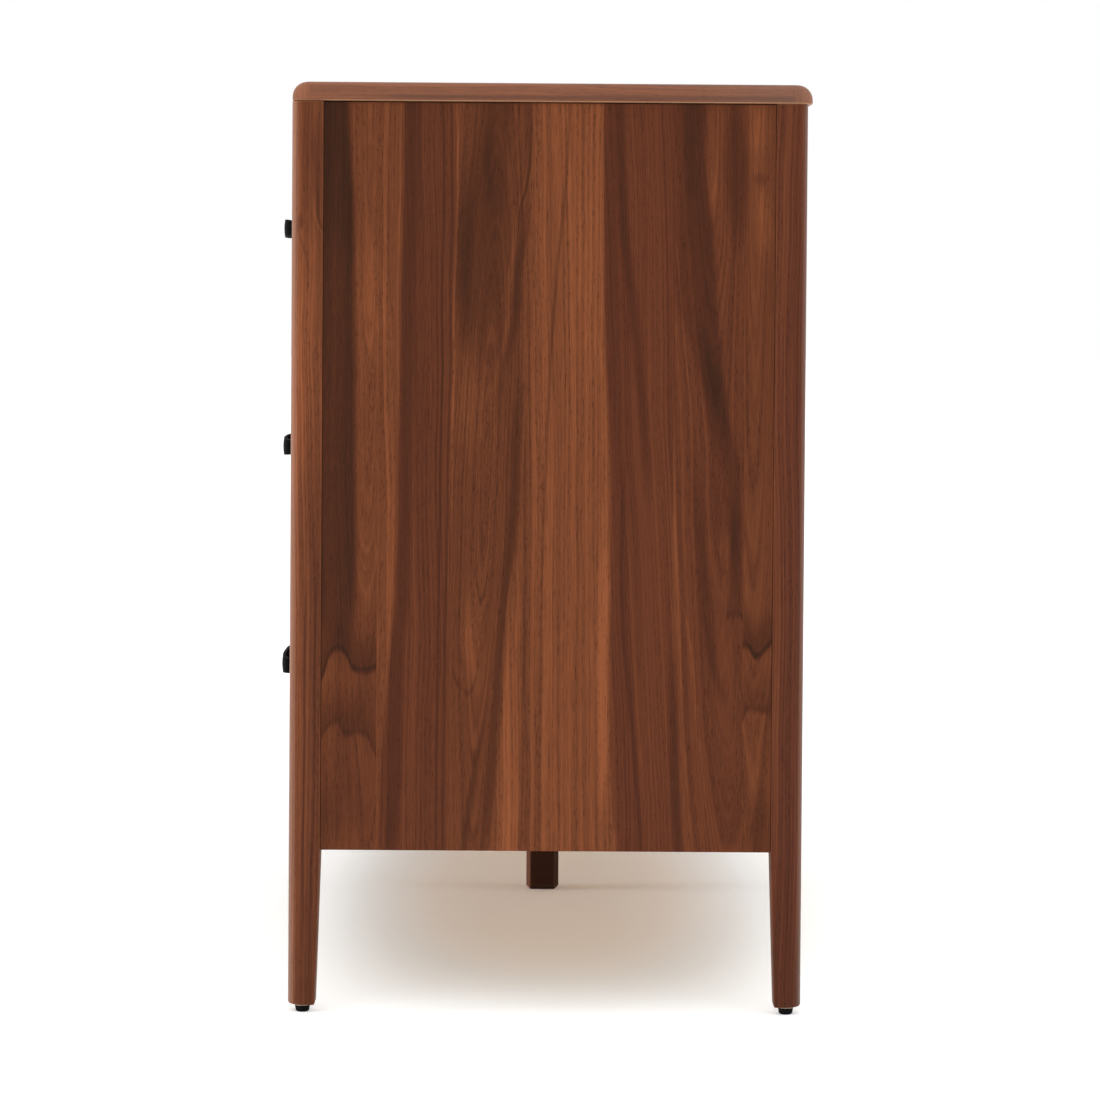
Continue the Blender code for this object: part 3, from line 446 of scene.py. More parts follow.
# Small fittings
TURN_STEPS = 24
WASHER_INSET = 0.0010  # from the glide's rim to the bore
WASHER_STEP = 0.00025  # past the glide's rim
WASHER_EASING = 0.0002
WASHER_TOP = 0.0001  # below the foot
WASHER_SEAT = 0.0004  # below the foot, on the glide's eased edge
WASHER_LIP = 0.0013  # below the foot
PULL_SCREW = Screw(radius=0.0042, height=0.0026, socket=0.00125)
BACK_SCREW = Screw(radius=0.0034, height=0.0018, socket=0.0010)
HEAD_OUTLINE = ((1.3, 0.0), (1.3, 0.24), (1.0, 0.30), (0.93, 0.62), (0.74, 0.88), (0.56, 1.0))
SOCKET_OUTLINE = ((1.08, 1.0), (1.0, 0.96), (1.0, 0.38))
SOCKET_BOTTOM = 0.318  # share of the head's height
SOCKET_SIDES = 6
SCREW_SEAT = 0.0001
PULL_FOOT_INSET = 0.0035
BACK_SCREWS = 7  # along the stretcher and along the rail
BACK_SCREW_INSET = 0.030
PARTITION_SCREWS = (0.25, 0.5, 0.75)  # shares of the way up from the rail to the stretcher
TO_REAR = Matrix.Rotation(-RIGHT_ANGLE, 4, "X")

# Smooth shading
SAME_PLACE = 0.000001
WELD_DISTANCE = 0.000002
SHARP_ANGLE = math.radians(32)

# Sockets of a Mix node for colours: its share, its two colours and its result
MIX_INPUTS = (0, 6, 7)
MIX_RESULT = 2


def linear(srgb):
    """Turn an sRGB colour of 0 to 255 into the linear colour that a shader takes."""
    def channel(value):
        share = value / 255
        return share / 12.92 if share <= 0.04045 else ((share + 0.055) / 1.055) ** 2.4

    return (*(channel(value) for value in srgb), 1.0)


class Graph:
    """A node tree, with short calls that make its nodes."""

    def __init__(self, tree):
        self.tree = tree

    def node(self, kind, **settings):
        made = self.tree.nodes.new(kind)
        for key, value in settings.items():
            setattr(made, key, value)
        return made

    def feed(self, socket, value):
        """Link a socket to another one, or set its own value."""
        if isinstance(value, bpy.types.NodeSocket):
            self.tree.links.new(value, socket)
        else:
            socket.default_value = value

    def math(self, operation, *values):
        made = self.node("ShaderNodeMath", operation=operation)
        for socket, value in zip(made.inputs, values):
            self.feed(socket, value)
        return made.outputs[0]

    def add(self, a, b):
        return self.math("ADD", a, b)

    def subtract(self, a, b):
        return self.math("SUBTRACT", a, b)

    def scale(self, a, b):
        return self.math("MULTIPLY", a, b)

    def absolute(self, a):
        return self.math("ABSOLUTE", a)

    def length(self, a, b):
        return self.math("SQRT", self.add(self.scale(a, a), self.scale(b, b)))

    def vector(self, x, y, z):
        made = self.node("ShaderNodeCombineXYZ")
        for socket, value in zip(made.inputs, (x, y, z)):
            self.feed(socket, value)
        return made.outputs[0]

    def split(self, vector):
        made = self.node("ShaderNodeSeparateXYZ")
        self.feed(made.inputs[0], vector)
        return made.outputs

    def noise(self, figure, across, along, seed=0.0, depth=None):
        """Noise drawn out along the grain, on one face, or through the piece where a depth is given."""
        level = self.add(seed, figure.seed)
        if depth is not None:
            level = self.add(self.scale(depth, figure.across), level)
        made = self.node("ShaderNodeTexNoise")
        made.inputs["Scale"].default_value = 1.0
        made.inputs["Detail"].default_value = figure.detail
        made.inputs["Roughness"].default_value = figure.roughness
        self.feed(made.inputs["Vector"],
                  self.vector(self.scale(across, figure.across), level, self.scale(along, figure.along)))
        return made.outputs["Fac"]

    def swing(self, value, noise, share):
        """Move a value to both sides by a share of a noise."""
        return self.math("MULTIPLY_ADD", self.subtract(noise, NOISE_MIDDLE), share, value)

    def fit(self, value, low, high, to_low=0.0, to_high=1.0):
        """Carry one range smoothly over to another, clamped at both ends."""
        made = self.node("ShaderNodeMapRange", interpolation_type="SMOOTHSTEP")
        for socket, number in zip(made.inputs, (value, low, high, to_low, to_high)):
            self.feed(socket, number)
        return made.outputs[0]

    def between(self, share, first, second):
        """A number that lies between two others by a share."""
        return self.math("MULTIPLY_ADD", share, self.subtract(second, first), first)

    def mix(self, share, first, second):
        """A colour that lies between two others by a share."""
        made = self.node("ShaderNodeMix", data_type="RGBA")
        for index, value in zip(MIX_INPUTS, (share, first, second)):
            self.feed(made.inputs[index], value)
        return made.outputs[MIX_RESULT]

    def curve(self, value, path):
        """A result that follows a smooth curve through (value, result) points."""
        low, high = min(point[0] for point in path), max(point[0] for point in path)
        bottom, top = min(point[1] for point in path), max(point[1] for point in path)
        rise = top - bottom or 1.0
        shares = sorted(((at - low) / (high - low), (result - bottom) / rise) for at, result in path)
        made = self.node("ShaderNodeFloatCurve")
        points = made.mapping.curves[0].points
        points[0].location = shares[0]
        points[1].location = shares[-1]
        for share in shares[1:-1]:
            points.new(*share)
        made.mapping.update()
        self.feed(made.inputs["Value"], self.math("DIVIDE", self.subtract(value, low), high - low))
        return self.math("MULTIPLY_ADD", made.outputs[0], rise, bottom)

    def ramp(self, share, stops):
        """A colour that runs through (place, sRGB colour) stops."""
        made = self.node("ShaderNodeValToRGB")
        elements = made.color_ramp.elements
        while len(elements) < len(stops):
            elements.new(1.0)
        for element, (place, colour) in zip(elements, stops):
            element.position = place
            element.color = linear(colour)
        self.feed(made.inputs[0], share)
        return made.outputs[0]


class Finish(Graph):
    """The node tree of one new material."""

    def __init__(self, name):
        self.material = bpy.data.materials.new(name)
        self.material.use_nodes = True
        super().__init__(self.material.node_tree)
        self.shader = self.tree.nodes["Principled BSDF"].inputs

    def place(self):
        """The X, Y and Z sockets of the point in the model's frame."""
        return self.split(self.node("ShaderNodeTexCoord").outputs["Object"])

    def place_by_grain(self, grain):
        """The sockets of the point along the grain, and along the other two axes."""
        place = self.place()
        across, depth = [place[axis] for axis in AXES if axis != grain]
        return place[grain], across, depth

    def edge(self, radius):
        """How sharply the surface turns within a radius: 0 on a flat, towards 1 on an edge."""
        rounded = self.node("ShaderNodeBevel", samples=EDGE_SAMPLES)
        rounded.inputs["Radius"].default_value = radius
        plain = self.node("ShaderNodeNewGeometry")
        dot = self.node("ShaderNodeVectorMath", operation="DOT_PRODUCT")
        self.feed(dot.inputs[0], rounded.outputs[0])
        self.feed(dot.inputs[1], plain.outputs["Normal"])
        return self.fit(dot.outputs["Value"], *EDGE_TURN)

    def finish(self, surface, colour, marks, height):
        """Feed the shader with a colour, with a roughness that marks add to, and with a bump."""
        self.feed(self.shader["Base Color"], colour)
        self.feed(self.shader["Roughness"], self.add(surface.roughness, self.scale(marks, surface.marked)))
        self.shader["Specular IOR Level"].default_value = surface.gloss
        bump = self.node("ShaderNodeBump")
        bump.inputs["Strength"].default_value = BUMP_STRENGTH
        bump.inputs["Distance"].default_value = surface.relief
        self.feed(bump.inputs["Height"], height)
        self.feed(self.shader["Normal"], bump.outputs[0])
        return self.material


def walnut_grain(g, across, depth, along, seed, tone, red, shade=0.0, lines=LINE_SHARE):
    """Walnut cut from a log: pigment bands and fine lines that follow the rings, and open pores.

    across and depth are measured from the heart of the log, and along runs with the grain.
    Returns the colour and the share of pore.
    """
    wander = g.noise(WANDER, across, along, seed)
    ripple = g.noise(RIPPLE, across, along, seed)
    ring = g.swing(g.swing(g.length(across, depth), wander, RING_WANDER), ripple, RING_RIPPLE)
    band = g.noise(BAND, ring, along, seed)
    line = g.noise(LINE, ring, along, seed)
    hair = g.noise(HAIR, ring, along, seed)
    fibre = g.noise(FIBRE, across, along, seed, depth)
    vessel = g.noise(VESSEL, across, along, seed, depth)
    value = tone
    for noise, share in ((band, BAND_SHARE), (line, lines), (fibre, FIBRE_SHARE), (hair, HAIR_SHARE)):
        value = g.swing(value, noise, share)
    value = g.subtract(value, g.scale(shade, g.fit(line, *LINE_SHADE)))
    colour = g.mix(red, g.ramp(value, BROWN_WALNUT), g.ramp(value, RED_WALNUT))
    pore = g.scale(g.fit(vessel, *VESSEL_OPEN), g.fit(line, *LINE_OPEN))
    colour = g.mix(g.scale(pore, PORE_SHARE), colour, linear(PORE))
    return colour, pore


def board_grain(g, board, across, depth, along, tone, shade=0.0):
    """Walnut of one solid board."""
    return walnut_grain(g, g.subtract(across, board.heart[0]), g.subtract(depth, board.heart[1]), along,
                        board.seed, tone, board.red, shade, board.lines)


def leaf_value(g, steps, values):
    """A value that changes at each joint between leaves."""
    total = values[0]
    for step, before, after in zip(steps, values, values[1:]):
        total = g.math("MULTIPLY_ADD", step, after - before, total)
    return total


def veneer_grain(g, across, along, joints, leaves, seed, shade):
    """Walnut veneer laid as leaves side by side."""
    steps = []
    blends = []
    for joint in joints:
        straight = isinstance(joint, float)
        gap = g.subtract(across, joint if straight else g.curve(along, joint.path))
        steps.append(g.math("GREATER_THAN", gap, 0.0))
        blends.append(steps[-1] if straight else g.fit(gap, -joint.blend, joint.blend))
    tones, reds, hearts, cones, apexes, leans = zip(*leaves)
    chance = random.Random(seed)
    seeds = [chance.uniform(*LEAF_SEEDS) for _ in leaves]
    heart, cone, apex, lean, leaf_seed = [leaf_value(g, steps, values)
                                          for values in (hearts, cones, apexes, leans, seeds)]
    tone, red = leaf_value(g, blends, tones), leaf_value(g, blends, reds)
    side = g.add(g.subtract(across, heart), g.scale(lean, along))
    depth = g.scale(cone, g.subtract(along, apex))
    return walnut_grain(g, side, depth, along, leaf_seed, tone, red, shade)


def streak_shade(g, across, along, streaks):
    """Darkening by pigment streaks, sharp at one edge, that wander a little as they run; the light ones along
    the posts' and the leg's front corners are painted highlights.
    """
    moved = g.swing(across, g.noise(STREAK_WANDER, across, along), STREAK_SWAY)
    total = 0.0
    for streak in streaks:
        reach = abs(streak.reach)
        edge = g.curve(along, streak.path)
        gap = g.scale(g.subtract(moved, edge), math.copysign(1.0, streak.reach))
        softness = min(STREAK_EDGE, reach / 2)
        body = g.scale(g.fit(gap, -softness, softness), g.fit(gap, reach, reach * STREAK_CORE))
        ends = g.scale(g.fit(along, streak.start - STREAK_END, streak.start + STREAK_END),
                       g.fit(along, streak.end + STREAK_END, streak.end - STREAK_END))
        total = g.math("MULTIPLY_ADD", g.scale(body, ends), streak.strength, total)
    return total


def cloud_shade(g, across, along, clouds, total):
    """Darkening by soft patches with ragged outlines."""
    ragged = g.noise(CLOUD_RAGGED, across, along)
    for cloud in clouds:
        side = g.math("DIVIDE", g.subtract(across, cloud.across), cloud.width)
        end = g.math("DIVIDE", g.subtract(along, cloud.along), cloud.length)
        distance = g.swing(g.length(side, end), ragged, CLOUD_SWAY)
        total = g.math("MULTIPLY_ADD", g.fit(distance, *CLOUD_FADE), cloud.strength, total)
    return total


def curl_shade(g, across, along, curls, total):
    """Darkening by wavy lines across a leaf, with shade that gathers above them."""
    waver = g.noise(CURL_WAVER, across, along)
    patch = g.fit(g.noise(CURL_PATCH, across, along), *PATCH_SHARE)
    for curl in curls:
        gap = g.subtract(along, g.swing(g.curve(across, curl.path), waver, CURL_SWAY))
        core = g.scale(g.fit(g.absolute(gap), *CURL_CORE), patch)
        halo = g.scale(g.fit(gap, *HALO_EDGE), g.fit(gap, *HALO_FADE))
        inside = g.scale(g.math("GREATER_THAN", across, curl.start), g.math("LESS_THAN", across, curl.end))
        dark = g.math("MULTIPLY_ADD", halo, curl.halo, g.scale(core, curl.strength))
        total = g.math("MULTIPLY_ADD", dark, inside, total)
    return total


def walnut_finish(g, surface, colour, pore, wear_and_highlight=0.0):
    """Satin oil on walnut: pores stay a little open and rougher, and edges are lighter, as wear and as painted
    highlight.
    """
    if wear_and_highlight:
        # lighter edges: wear, and on the posts a painted highlight where their edges catch the light
        colour = g.mix(g.scale(g.edge(WOOD_EDGE), wear_and_highlight), colour, linear(EDGE_WEAR_AND_HIGHLIGHT))
    return g.finish(surface, colour, pore, g.subtract(1.0, pore))


def side_panel_veneer(name, joints, leaves, streaks, clouds, curls, seed):
    """Veneer of a side panel, with upright leaves."""
    g = Finish(name)
    x, y, z = g.place()
    shade = streak_shade(g, y, z, streaks)
    shade = cloud_shade(g, y, z, clouds, shade)
    shade = curl_shade(g, y, z, curls, shade)
    colour, pore = veneer_grain(g, y, z, joints, leaves, seed, shade)
    return walnut_finish(g, PANEL_SURFACE, colour, pore)


def chance_veneer(across_ends, along_ends, seed):
    """Joints, leaves and streaks of like kind for the surfaces that the photograph doesn't show."""
    chance = random.Random(seed)
    first, last = across_ends
    count = math.ceil((last - first) / LEAF_WIDTH)
    joints = [first + LEAF_WIDTH * (i + 1) for i in range(count - 1)]
    leaves = []
    streaks = []
    for i in range(count):
        middle = first + LEAF_WIDTH * (i + 0.5)
        leaves.append(Leaf(tone=chance.uniform(*CHANCE_TONES), red=chance.uniform(*CHANCE_REDS),
                           heart=middle + chance.choice(CHANCE_HEARTS), cone=chance.choice(CHANCE_CONES),
                           apex=chance.uniform(*along_ends), lean=chance.uniform(*CHANCE_LEANS)))
        for _ in range(CHANCE_STREAKS):
            place = middle + chance.uniform(*CHANCE_PLACES) * LEAF_WIDTH
            start = chance.uniform(*along_ends)
            end = start + chance.uniform(*CHANCE_LENGTHS) * (along_ends[1] - along_ends[0])
            path = [(start + (end - start) * share, place + chance.uniform(*CHANCE_SWAYS))
                    for share in CHANCE_STOPS]
            reach = chance.choice(CHANCE_SIDES) * chance.uniform(*CHANCE_REACHES)
            streaks.append(Streak(path, reach, chance.uniform(*CHANCE_STRENGTHS), start, end))
    return joints, leaves, streaks


def front_veneer():
    """Veneer of the drawer fronts, with level leaves that run on from one column to the other."""
    g = Finish("walnut_fronts")
    x, y, z = g.place()
    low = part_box("drawer_bottom_left_front")[0]
    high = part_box("drawer_top_right_front")[1]
    joints, leaves, streaks = chance_veneer((low.z, high.z), (low.x, high.x), FRONT_LEAF_SEED)
    shade = streak_shade(g, z, x, streaks)
    colour, pore = veneer_grain(g, z, x, joints, leaves, FRONT_GRAIN_SEED, shade)
    return walnut_finish(g, PANEL_SURFACE, colour, pore, FRONT_WEAR)


def top_veneer():
    """Veneered top with solid lippings: full length at the front and rear, between them at the ends."""
    g = Finish("walnut_top")
    x, y, z = g.place()
    low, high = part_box("top")
    front, rear = low.y + TOP_FRONT_LIP, high.y - TOP_REAR_LIP
    joints, leaves, streaks = chance_veneer((front, rear), (low.x, high.x), TOP_LEAF_SEED)
    shade = streak_shade(g, y, x, streaks)
    field, field_pore = veneer_grain(g, y, x, joints, leaves, TOP_GRAIN_SEED, shade)
    lip, lip_pore = board_grain(g, LONG_LIP, y, z, x, LONG_LIP.tone)
    above = g.absolute(g.subtract(z, low.z + END_LINE_RISE))
    line = g.scale(g.fit(above, *END_LINE_FADE), g.fit(y, *END_LINE_START))
    end, end_pore = board_grain(g, END_LIP, g.absolute(x), z, y, END_LIP.tone, g.scale(line, END_LINE_SHADE))
    at_end = g.math("GREATER_THAN", g.absolute(x), high.x - TOP_END_LIP)
    at_lip = g.math("MAXIMUM", g.math("LESS_THAN", y, front), g.math("GREATER_THAN", y, rear))
    colour = g.mix(at_lip, g.mix(at_end, field, end), lip)
    pore = g.mix(at_lip, g.mix(at_end, field_pore, end_pore), lip_pore)
    # painted sheen that whitens the lippings towards the rear, where they reflect the bright surroundings
    painted_sheen = g.scale(g.math("MAXIMUM", at_end, at_lip), g.fit(y, SHEEN_START, high.y, *SHEEN_SHARES))
    colour = g.mix(painted_sheen, colour, linear(LIP_PAINTED_SHEEN))
    # painted highlight and wear along the lower arris
    arris_wear_and_highlight = g.scale(g.fit(z, low.z + ARRIS_TOP, low.z + ARRIS_FULL),
                    g.fit(y, low.y + ARRIS_START, low.y + ARRIS_END, *ARRIS_SHARES))
    colour = g.mix(arris_wear_and_highlight, colour, linear(ARRIS_WEAR_AND_HIGHLIGHT))
    return walnut_finish(g, TOP_SURFACE, colour, pore)


def solid_walnut(name, board):
    """Solid walnut, with painted shade that darkens the feet towards the floor where the grain is upright."""
    g = Finish(name)
    along, across, depth = g.place_by_grain(board.grain)
    tone = board.tone
    if board.grain == "Z":
        # painted shade, darker towards the floor
        tone = g.fit(along, 0.0, SHADE_START_HEIGHT, tone - FOOT_PAINTED_SHADE, tone)
    shade = cloud_shade(g, depth, along, board.clouds, streak_shade(g, depth, along, board.streaks))
    colour, pore = board_grain(g, board, across, depth, along, tone, shade)
    corner = board.corner
    if corner:
        # pale painted highlight along the corner, where the light falls
        corner_highlight = g.scale(g.fit(g.absolute(across), corner.inner, corner.inner + CORNER_FADE),
                         g.fit(depth, corner.start, corner.end, 0.0, corner.share))
        colour = g.mix(corner_highlight, colour, linear(CORNER_HIGHLIGHT))
    return walnut_finish(g, POST_SURFACE, colour, pore, POST_WEAR_AND_HIGHLIGHT)


def birch(name, grain, seed):
    """Clear-lacquered birch with its grain along one axis."""
    g = Finish(name)
    along, across, depth = g.place_by_grain(grain)
    sweep = g.noise(BIRCH_SWEEP, across, along, seed, depth)
    line = g.noise(BIRCH_LINES, across, along, seed, depth)
    fleck = g.noise(BIRCH_FLECKS, across, along, seed, depth)
    marks = g.add(g.fit(line, *LINES_MARK), g.fit(fleck, *FLECKS_MARK))
    colour = g.mix(marks, g.ramp(g.fit(sweep, *SWEEP_SPAN), BIRCH_STOPS), linear(BIRCH_LINE))
    return g.finish(BIRCH_SURFACE, colour, marks, g.subtract(1.0, marks))


def birch_ply(node, ply, lipping=0.0):
    """Birch plywood of one node: face veneer, plies on the edges, and any walnut lipping in front."""
    g = Finish("ply_" + node)
    place = g.place()
    along, level = place[ply.grain], place[ply.stack]
    across = [place[axis] for axis in AXES if axis not in (ply.grain, ply.stack)][0]
    sweep = g.noise(PLY_SWEEP, across, along, ply.seed)
    line = g.noise(PLY_LINES, across, along, ply.seed)
    face = g.mix(g.fit(line, *PLY_MARK), g.ramp(g.fit(sweep, *SWEEP_SPAN), BIRCH_STOPS), linear(BIRCH_LINE))
    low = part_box(node)[0]
    first = low[AXES.index(ply.stack)]
    count = g.math("FLOOR", g.math("DIVIDE", g.subtract(level, first), PLY_THICKNESS))
    odd = g.absolute(g.math("MODULO", count, 2.0))
    edge = g.mix(odd, linear(BIRCH_WARM), linear(PLY_END))
    normal = g.split(g.node("ShaderNodeNewGeometry").outputs["Normal"])
    colour = g.mix(g.fit(g.absolute(normal[ply.stack]), *PLY_FACE), edge, face)
    if lipping:
        in_front = g.math("LESS_THAN", place["Y"], low.y + lipping)
        colour = g.mix(in_front, colour, g.ramp(line, LIPPING_WALNUT))
    return g.finish(PLY_SURFACE, colour, line, line)


def black_metal():
    """Powder-coated steel: fine orange peel, and faintly lighter edges, as wear and as painted highlight."""
    g = Finish("black_powder_coat")
    x, y, z = g.place()
    peel = g.noise(COAT_PEEL, x, z, depth=y)
    smear = g.noise(COAT_SMEAR, x, z, depth=y)
    colour = g.mix(smear, linear(COAT_DEEP), linear(COAT_SMEARED))
    # lighter edges: painted highlight of the lit top edge, and some wear
    colour = g.mix(g.scale(g.edge(COAT_EDGE), COAT_WEAR_AND_HIGHLIGHT), colour, linear(COAT_WORN_AND_LIT))
    return g.finish(COAT_SURFACE, colour, smear, peel)


def black_nylon():
    """Moulded nylon with a fine grain and scuffed floor edge."""
    g = Finish("black_moulded_nylon")
    x, y, z = g.place()
    grain = g.noise(NYLON_GRAIN, x, z, depth=y)
    scuff = g.scale(g.fit(z, *SCUFF_HEIGHT), g.fit(grain, *SCUFF_GRAIN))
    colour = g.mix(g.scale(scuff, SCUFF_SHARE), linear(NYLON), linear(NYLON_SCUFFED))
    return g.finish(NYLON_SURFACE, colour, grain, grain)


def pale_fibre():
    """Pressed fibre of the washers between the feet and their glides."""
    g = Finish("pale_fibre")
    x, y, z = g.place()
    fleck = g.noise(FIBRE_FLECKS, x, z, depth=y)
    colour = g.mix(fleck, linear(FIBRE_DARK), linear(FIBRE_PALE))
    return g.finish(FIBRE_SURFACE, colour, fleck, fleck)


def turn(bm, profile, place):
    """Sweep a profile of (radius, height, sides) points round an axis, where sides is 0 for round."""
    rings = []
    for radius, height, sides in profile:
        if radius == 0:
            rings.append([bm.verts.new(place @ Vector((0, 0, height)))])
            continue
        ring = []
        for step in range(TURN_STEPS):
            angle = math.tau * step / TURN_STEPS
            sector = math.tau / sides if sides else math.tau
            flat = math.cos((angle + sector / 2) % sector - sector / 2) if sides else 1.0
            at = Vector((radius / flat * math.cos(angle), radius / flat * math.sin(angle), height))
            ring.append(bm.verts.new(place @ at))
        rings.append(ring)
    for first, second in zip(rings, rings[1:]):
        for step in range(TURN_STEPS):
            corners = [first[step % len(first)], first[(step + 1) % len(first)],
                       second[(step + 1) % len(second)], second[step % len(second)]]
            bm.faces.new(list(dict.fromkeys(corners)))


def add_object(name, data):
    """A new object in the scene."""
    made = bpy.data.objects.new(name, data)
    bpy.context.scene.collection.objects.link(made)
    return made


def add_mesh(name, bm, material):
    """A new object of a mesh in one finish."""
    mesh = bpy.data.meshes.new(name)
    bm.to_mesh(mesh)
    bm.free()
    mesh.materials.append(material)
    return add_object(name, mesh)


def add_fitting(name, bm, material, body, smoothing):
    """Make a small fitting of a mesh, on the body that carries it."""
    bmesh.ops.remove_doubles(bm, verts=bm.verts, dist=SAME_PLACE)
    bmesh.ops.recalc_face_normals(bm, faces=bm.faces)
    fitting = add_mesh(name, bm, material)
    fitting.modifiers.new("smooth", "NODES").node_group = smoothing
    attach(fitting, body)


def add_glide_washers(smoothing):
    """Pale fibre washers that show as thin rings between the feet and their glides."""
    bm = bmesh.new()
    for node in NODES:
        if node.startswith("glide"):
            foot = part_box(node.replace("glide", "post"))[0].z
            low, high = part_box(node)
            rim = (high.x - low.x) / 2
            bore, edge = rim - WASHER_INSET, rim + WASHER_STEP
            profile = [(bore, foot - WASHER_SEAT, 0), (bore, foot - WASHER_TOP, 0),
                       (edge - WASHER_EASING, foot - WASHER_TOP, 0),
                       (edge, foot - WASHER_TOP - WASHER_EASING, 0),
                       (edge, foot - WASHER_LIP, 0), (bore, foot - WASHER_SEAT, 0)]
            turn(bm, profile, Matrix.Translation(((low.x + high.x) / 2, (low.y + high.y) / 2, 0)))
    add_fitting("glide_washers", bm, pale_fibre(), "case", smoothing)


def button_head(screw):
    """Profile of a screw's round head on its washer, with a hexagon socket."""
    head = [(screw.radius * share, screw.height * level, 0) for share, level in HEAD_OUTLINE]
    socket = [(screw.socket * share, screw.height * level, SOCKET_SIDES) for share, level in SOCKET_OUTLINE]
    return [(0, 0, 0), *head, *socket, (0, screw.height * SOCKET_BOTTOM, 0)]


def add_screws(name, screw, spots, metal, body, smoothing):
    """Screws at the given places, with their heads to the rear."""
    bm = bmesh.new()
    for spot in spots:
        turn(bm, button_head(screw), Matrix.Translation(spot) @ TO_REAR)
    add_fitting(name, bm, metal, body, smoothing)


def add_pull_screws(metal, smoothing):
    """Two screws inside each drawer front, behind the feet of its pull."""
    for node in NODES:
        if node.endswith("_pull"):
            drawer = node.removesuffix("_pull")
            low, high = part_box(node)
            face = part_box(drawer + "_front")[1].y + SCREW_SEAT
            feet = (low.x + PULL_FOOT_INSET, high.x - PULL_FOOT_INSET)
            spots = [(x, face, (low.z + high.z) / 2) for x in feet]
            add_screws(drawer + "_pull_screws", PULL_SCREW, spots, metal, drawer, smoothing)


def add_back_screws(metal, smoothing):
    """Screws that hold the back to the stretcher, the rail and the partition."""
    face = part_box("back_panel")[1].y + SCREW_SEAT
    levels = []
    for node in ("rear_top_stretcher", "rear_bottom_rail"):
        low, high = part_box(node)
        levels.append((low.z + high.z) / 2)
    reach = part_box("post_rear_right")[0].x - BACK_SCREW_INSET
    spots = [(reach * (2 * i / (BACK_SCREWS - 1) - 1), face, z) for z in levels for i in range(BACK_SCREWS)]
    spots += [(0.0, face, levels[1] + (levels[0] - levels[1]) * share) for share in PARTITION_SCREWS]
    add_screws("back_screws", BACK_SCREW, spots, metal, "case", smoothing)


def smooth_by_angle():
    """A modifier group that welds a node's facets and smooths the shallow edges between them."""
    group = bpy.data.node_groups.new("smooth_by_angle", "GeometryNodeTree")
    for direction in ("INPUT", "OUTPUT"):
        group.interface.new_socket("Mesh", in_out=direction, socket_type="NodeSocketGeometry")
    g = Graph(group)
    weld = g.node("GeometryNodeMergeByDistance")
    smooth = g.node("GeometryNodeSetShadeSmooth", domain="FACE")
    sharp = g.node("GeometryNodeSetShadeSmooth", domain="EDGE")
    steep = g.node("FunctionNodeCompare", operation="GREATER_THAN")
    chain = (g.node("NodeGroupInput"), weld, smooth, sharp, g.node("NodeGroupOutput"))
    for before, after in zip(chain, chain[1:]):
        g.feed(after.inputs[0], before.outputs[0])
    g.feed(weld.inputs["Distance"], WELD_DISTANCE)
    g.feed(steep.inputs[0], g.node("GeometryNodeInputMeshEdgeAngle").outputs[0])
    g.feed(steep.inputs[1], SHARP_ANGLE)
    g.feed(sharp.inputs["Selection"], steep.outputs[0])
    g.feed(sharp.inputs["Shade Smooth"], False)
    return group


def case_finishes():
    """Finishes of the case's nodes."""
    low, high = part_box("side_panel_left")
    hidden_side = chance_veneer((low.y, high.y), (low.z, high.z), LEFT_LEAF_SEED)
    finishes = {
        "top": top_veneer(),
        "side_panel_right": side_panel_veneer("walnut_side_right", SIDE_JOINTS, SIDE_LEAVES, SIDE_STREAKS,
                                              SIDE_CLOUDS, SIDE_CURLS, RIGHT_GRAIN_SEED),
        "side_panel_left": side_panel_veneer("walnut_side_left", *hidden_side, (), (), LEFT_GRAIN_SEED),
    }
    for node, board in BOARDS.items():
        finishes[node] = solid_walnut("walnut_" + node, board)
    for node, seed in BIRCH_SEEDS.items():
        finishes[node] = birch("birch_" + node, "X", seed)
    for node, ply in PANELS.items():
        finishes[node] = birch_ply(node, ply)
    nylon = black_nylon()
    for node in NODES:
        if node.startswith("dust_panel"):
            finishes[node] = birch_ply(node, DUST_PLY, LIPPING)
        elif node.startswith("glide"):
            finishes[node] = nylon
    return finishes


def drawer_finishes(metal):
    """Finishes of the drawers' nodes, named by drawer, row, column and piece."""
    sides = birch("birch_drawer_sides", "Y", DRAWER_SIDE_SEED)
    by_piece = {"front": front_veneer(), "side_left": sides, "side_right": sides,
                "back": birch("birch_drawer_backs", "X", DRAWER_BACK_SEED), "pull": metal}
    finishes = {}
    for node in NODES:
        if node.startswith("drawer"):
            piece = node.split("_", 3)[-1]
            finishes[node] = birch_ply(node, DRAWER_PLY) if piece == "bottom" else by_piece[piece]
    return finishes


def dress_all():
    """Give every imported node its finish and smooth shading, and add the small fittings."""
    smoothing = smooth_by_angle()
    metal = black_metal()
    finishes = case_finishes() | drawer_finishes(metal)
    for node, material in finishes.items():
        obj = NODES[node]
        if not obj.material_slots:
            obj.data.materials.append(material)
        for slot in obj.material_slots:
            slot.material = material
        obj.modifiers.new("smooth", "NODES").node_group = smoothing
    add_glide_washers(smoothing)
    add_pull_screws(metal, smoothing)
    add_back_screws(metal, smoothing)


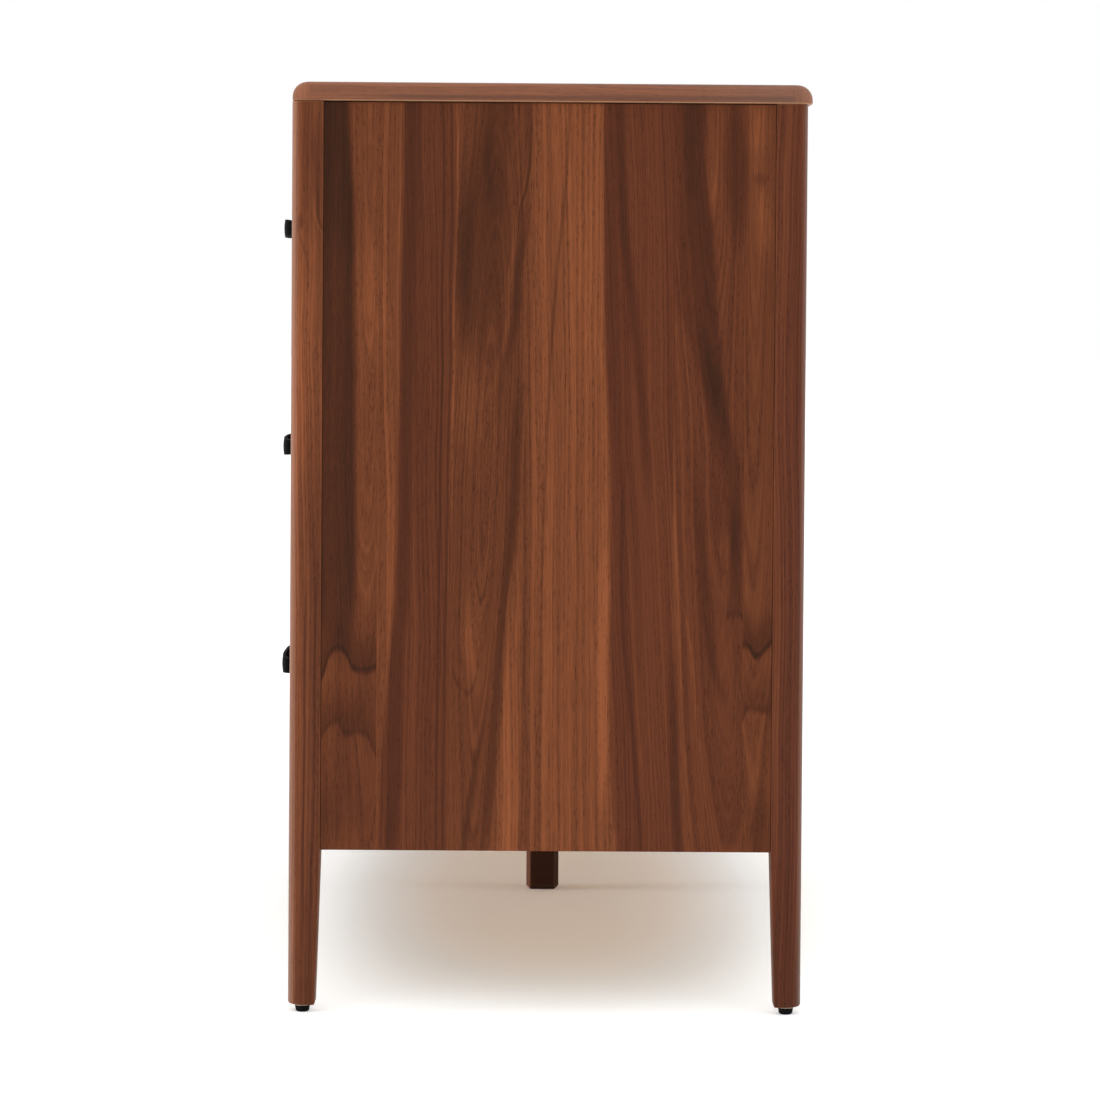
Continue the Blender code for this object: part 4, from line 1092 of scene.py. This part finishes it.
def make_floor():
    """Plain pale floor that the camera sees as the white backdrop, with the shadow kept; a glow that grows
    away from the dresser paints the shadow's outline, and is warm under it as painted bounce light.
    """
    bm = bmesh.new()
    bmesh.ops.create_circle(bm, cap_ends=True, segments=FLOOR_SIDES, radius=FLOOR_RADIUS)
    g = Finish("floor")
    g.shader["Base Color"].default_value = FLOOR_COLOUR
    g.shader["Roughness"].default_value = FLOOR_ROUGHNESS
    g.shader["Specular IOR Level"].default_value = 0.0
    path = g.node("ShaderNodeLightPath").outputs
    seen = g.math("MAXIMUM", path["Is Camera Ray"], path["Is Transmission Ray"])
    seen = g.math("MAXIMUM", seen, path["Is Glossy Ray"])
    x, y, z = g.place()
    away = g.length(g.math("DIVIDE", x, LIFT_HALF_WIDTH),
                    g.math("DIVIDE", g.subtract(y, LIFT_MIDDLE), LIFT_HALF_DEPTH))
    # painted light: the glow grows away from the dresser, which paints the outline of its shadow
    lift = g.fit(away, 1.0, LIFT_GROWTH, FLOOR_LIFT, BACKDROP_LIFT)
    # painted warm bounce light in the shadow under the dresser
    painted_bounce = g.mix(g.fit(away, BOUNCE_FADE_START, BOUNCE_FADE_END), PAINTED_BOUNCE_TINT, WHITE)
    g.feed(g.shader["Emission Color"], painted_bounce)
    g.feed(g.shader["Emission Strength"], g.scale(seen, lift))
    floor = add_mesh("floor", bm, g.material)


def make_world():
    """Even surrounding light, with a white backdrop for the camera and for reflections.

    Reflections on the photographer's side show the unlit room instead.
    """
    world = bpy.data.worlds.new("studio")
    bpy.context.scene.world = world
    world.use_nodes = True
    g = Graph(world.node_tree)
    path = g.node("ShaderNodeLightPath").outputs
    direction = g.split(g.node("ShaderNodeTexCoord").outputs["Generated"])
    room = g.fit(direction["X"], ROOM_START, ROOM_END, BACKDROP_LEVEL, ROOM_LEVEL)
    mirrored = g.between(path["Is Glossy Ray"], WORLD_LEVEL, room)
    seen = g.math("MAXIMUM", path["Is Camera Ray"], path["Is Transmission Ray"])
    background = g.tree.nodes["Background"].inputs
    g.feed(background["Color"], WHITE)
    g.feed(background["Strength"], g.between(seen, mirrored, BACKDROP_LEVEL))


def add_soft_light(name, towards, spread, level):
    """A broad, distant lamp that shines evenly from one direction, and that reflections don't show."""
    lamp = bpy.data.lights.new(name, "SUN")
    lamp.angle = math.radians(spread)
    lamp.energy = level * math.pi
    light = add_object(name, lamp)
    light.rotation_euler = Vector(towards).to_track_quat("Z", "Y").to_euler()
    light.visible_glossy = False


def make_camera():
    """The photograph's camera, level with the upper drawers at the dresser's right side."""
    data = bpy.data.cameras.new("camera")
    data.sensor_width = CAMERA_SENSOR_MM
    data.lens = CAMERA_LENS_MM
    data.shift_y = CAMERA_SHIFT_Y
    camera = add_object("camera", data)
    camera.matrix_world = (Matrix.Translation(CAMERA_PLACE)
                           @ Matrix.Rotation(RIGHT_ANGLE - CAMERA_YAW, 4, "Z")
                           @ Matrix.Rotation(RIGHT_ANGLE - CAMERA_PITCH, 4, "X")
                           @ Matrix.Rotation(CAMERA_ROLL, 4, "Z"))
    bpy.context.scene.camera = camera


dress_all()
make_floor()
make_world()
for lamp in LAMPS:
    add_soft_light(*lamp)
make_camera()
bpy.context.scene.view_settings.view_transform = "Standard"
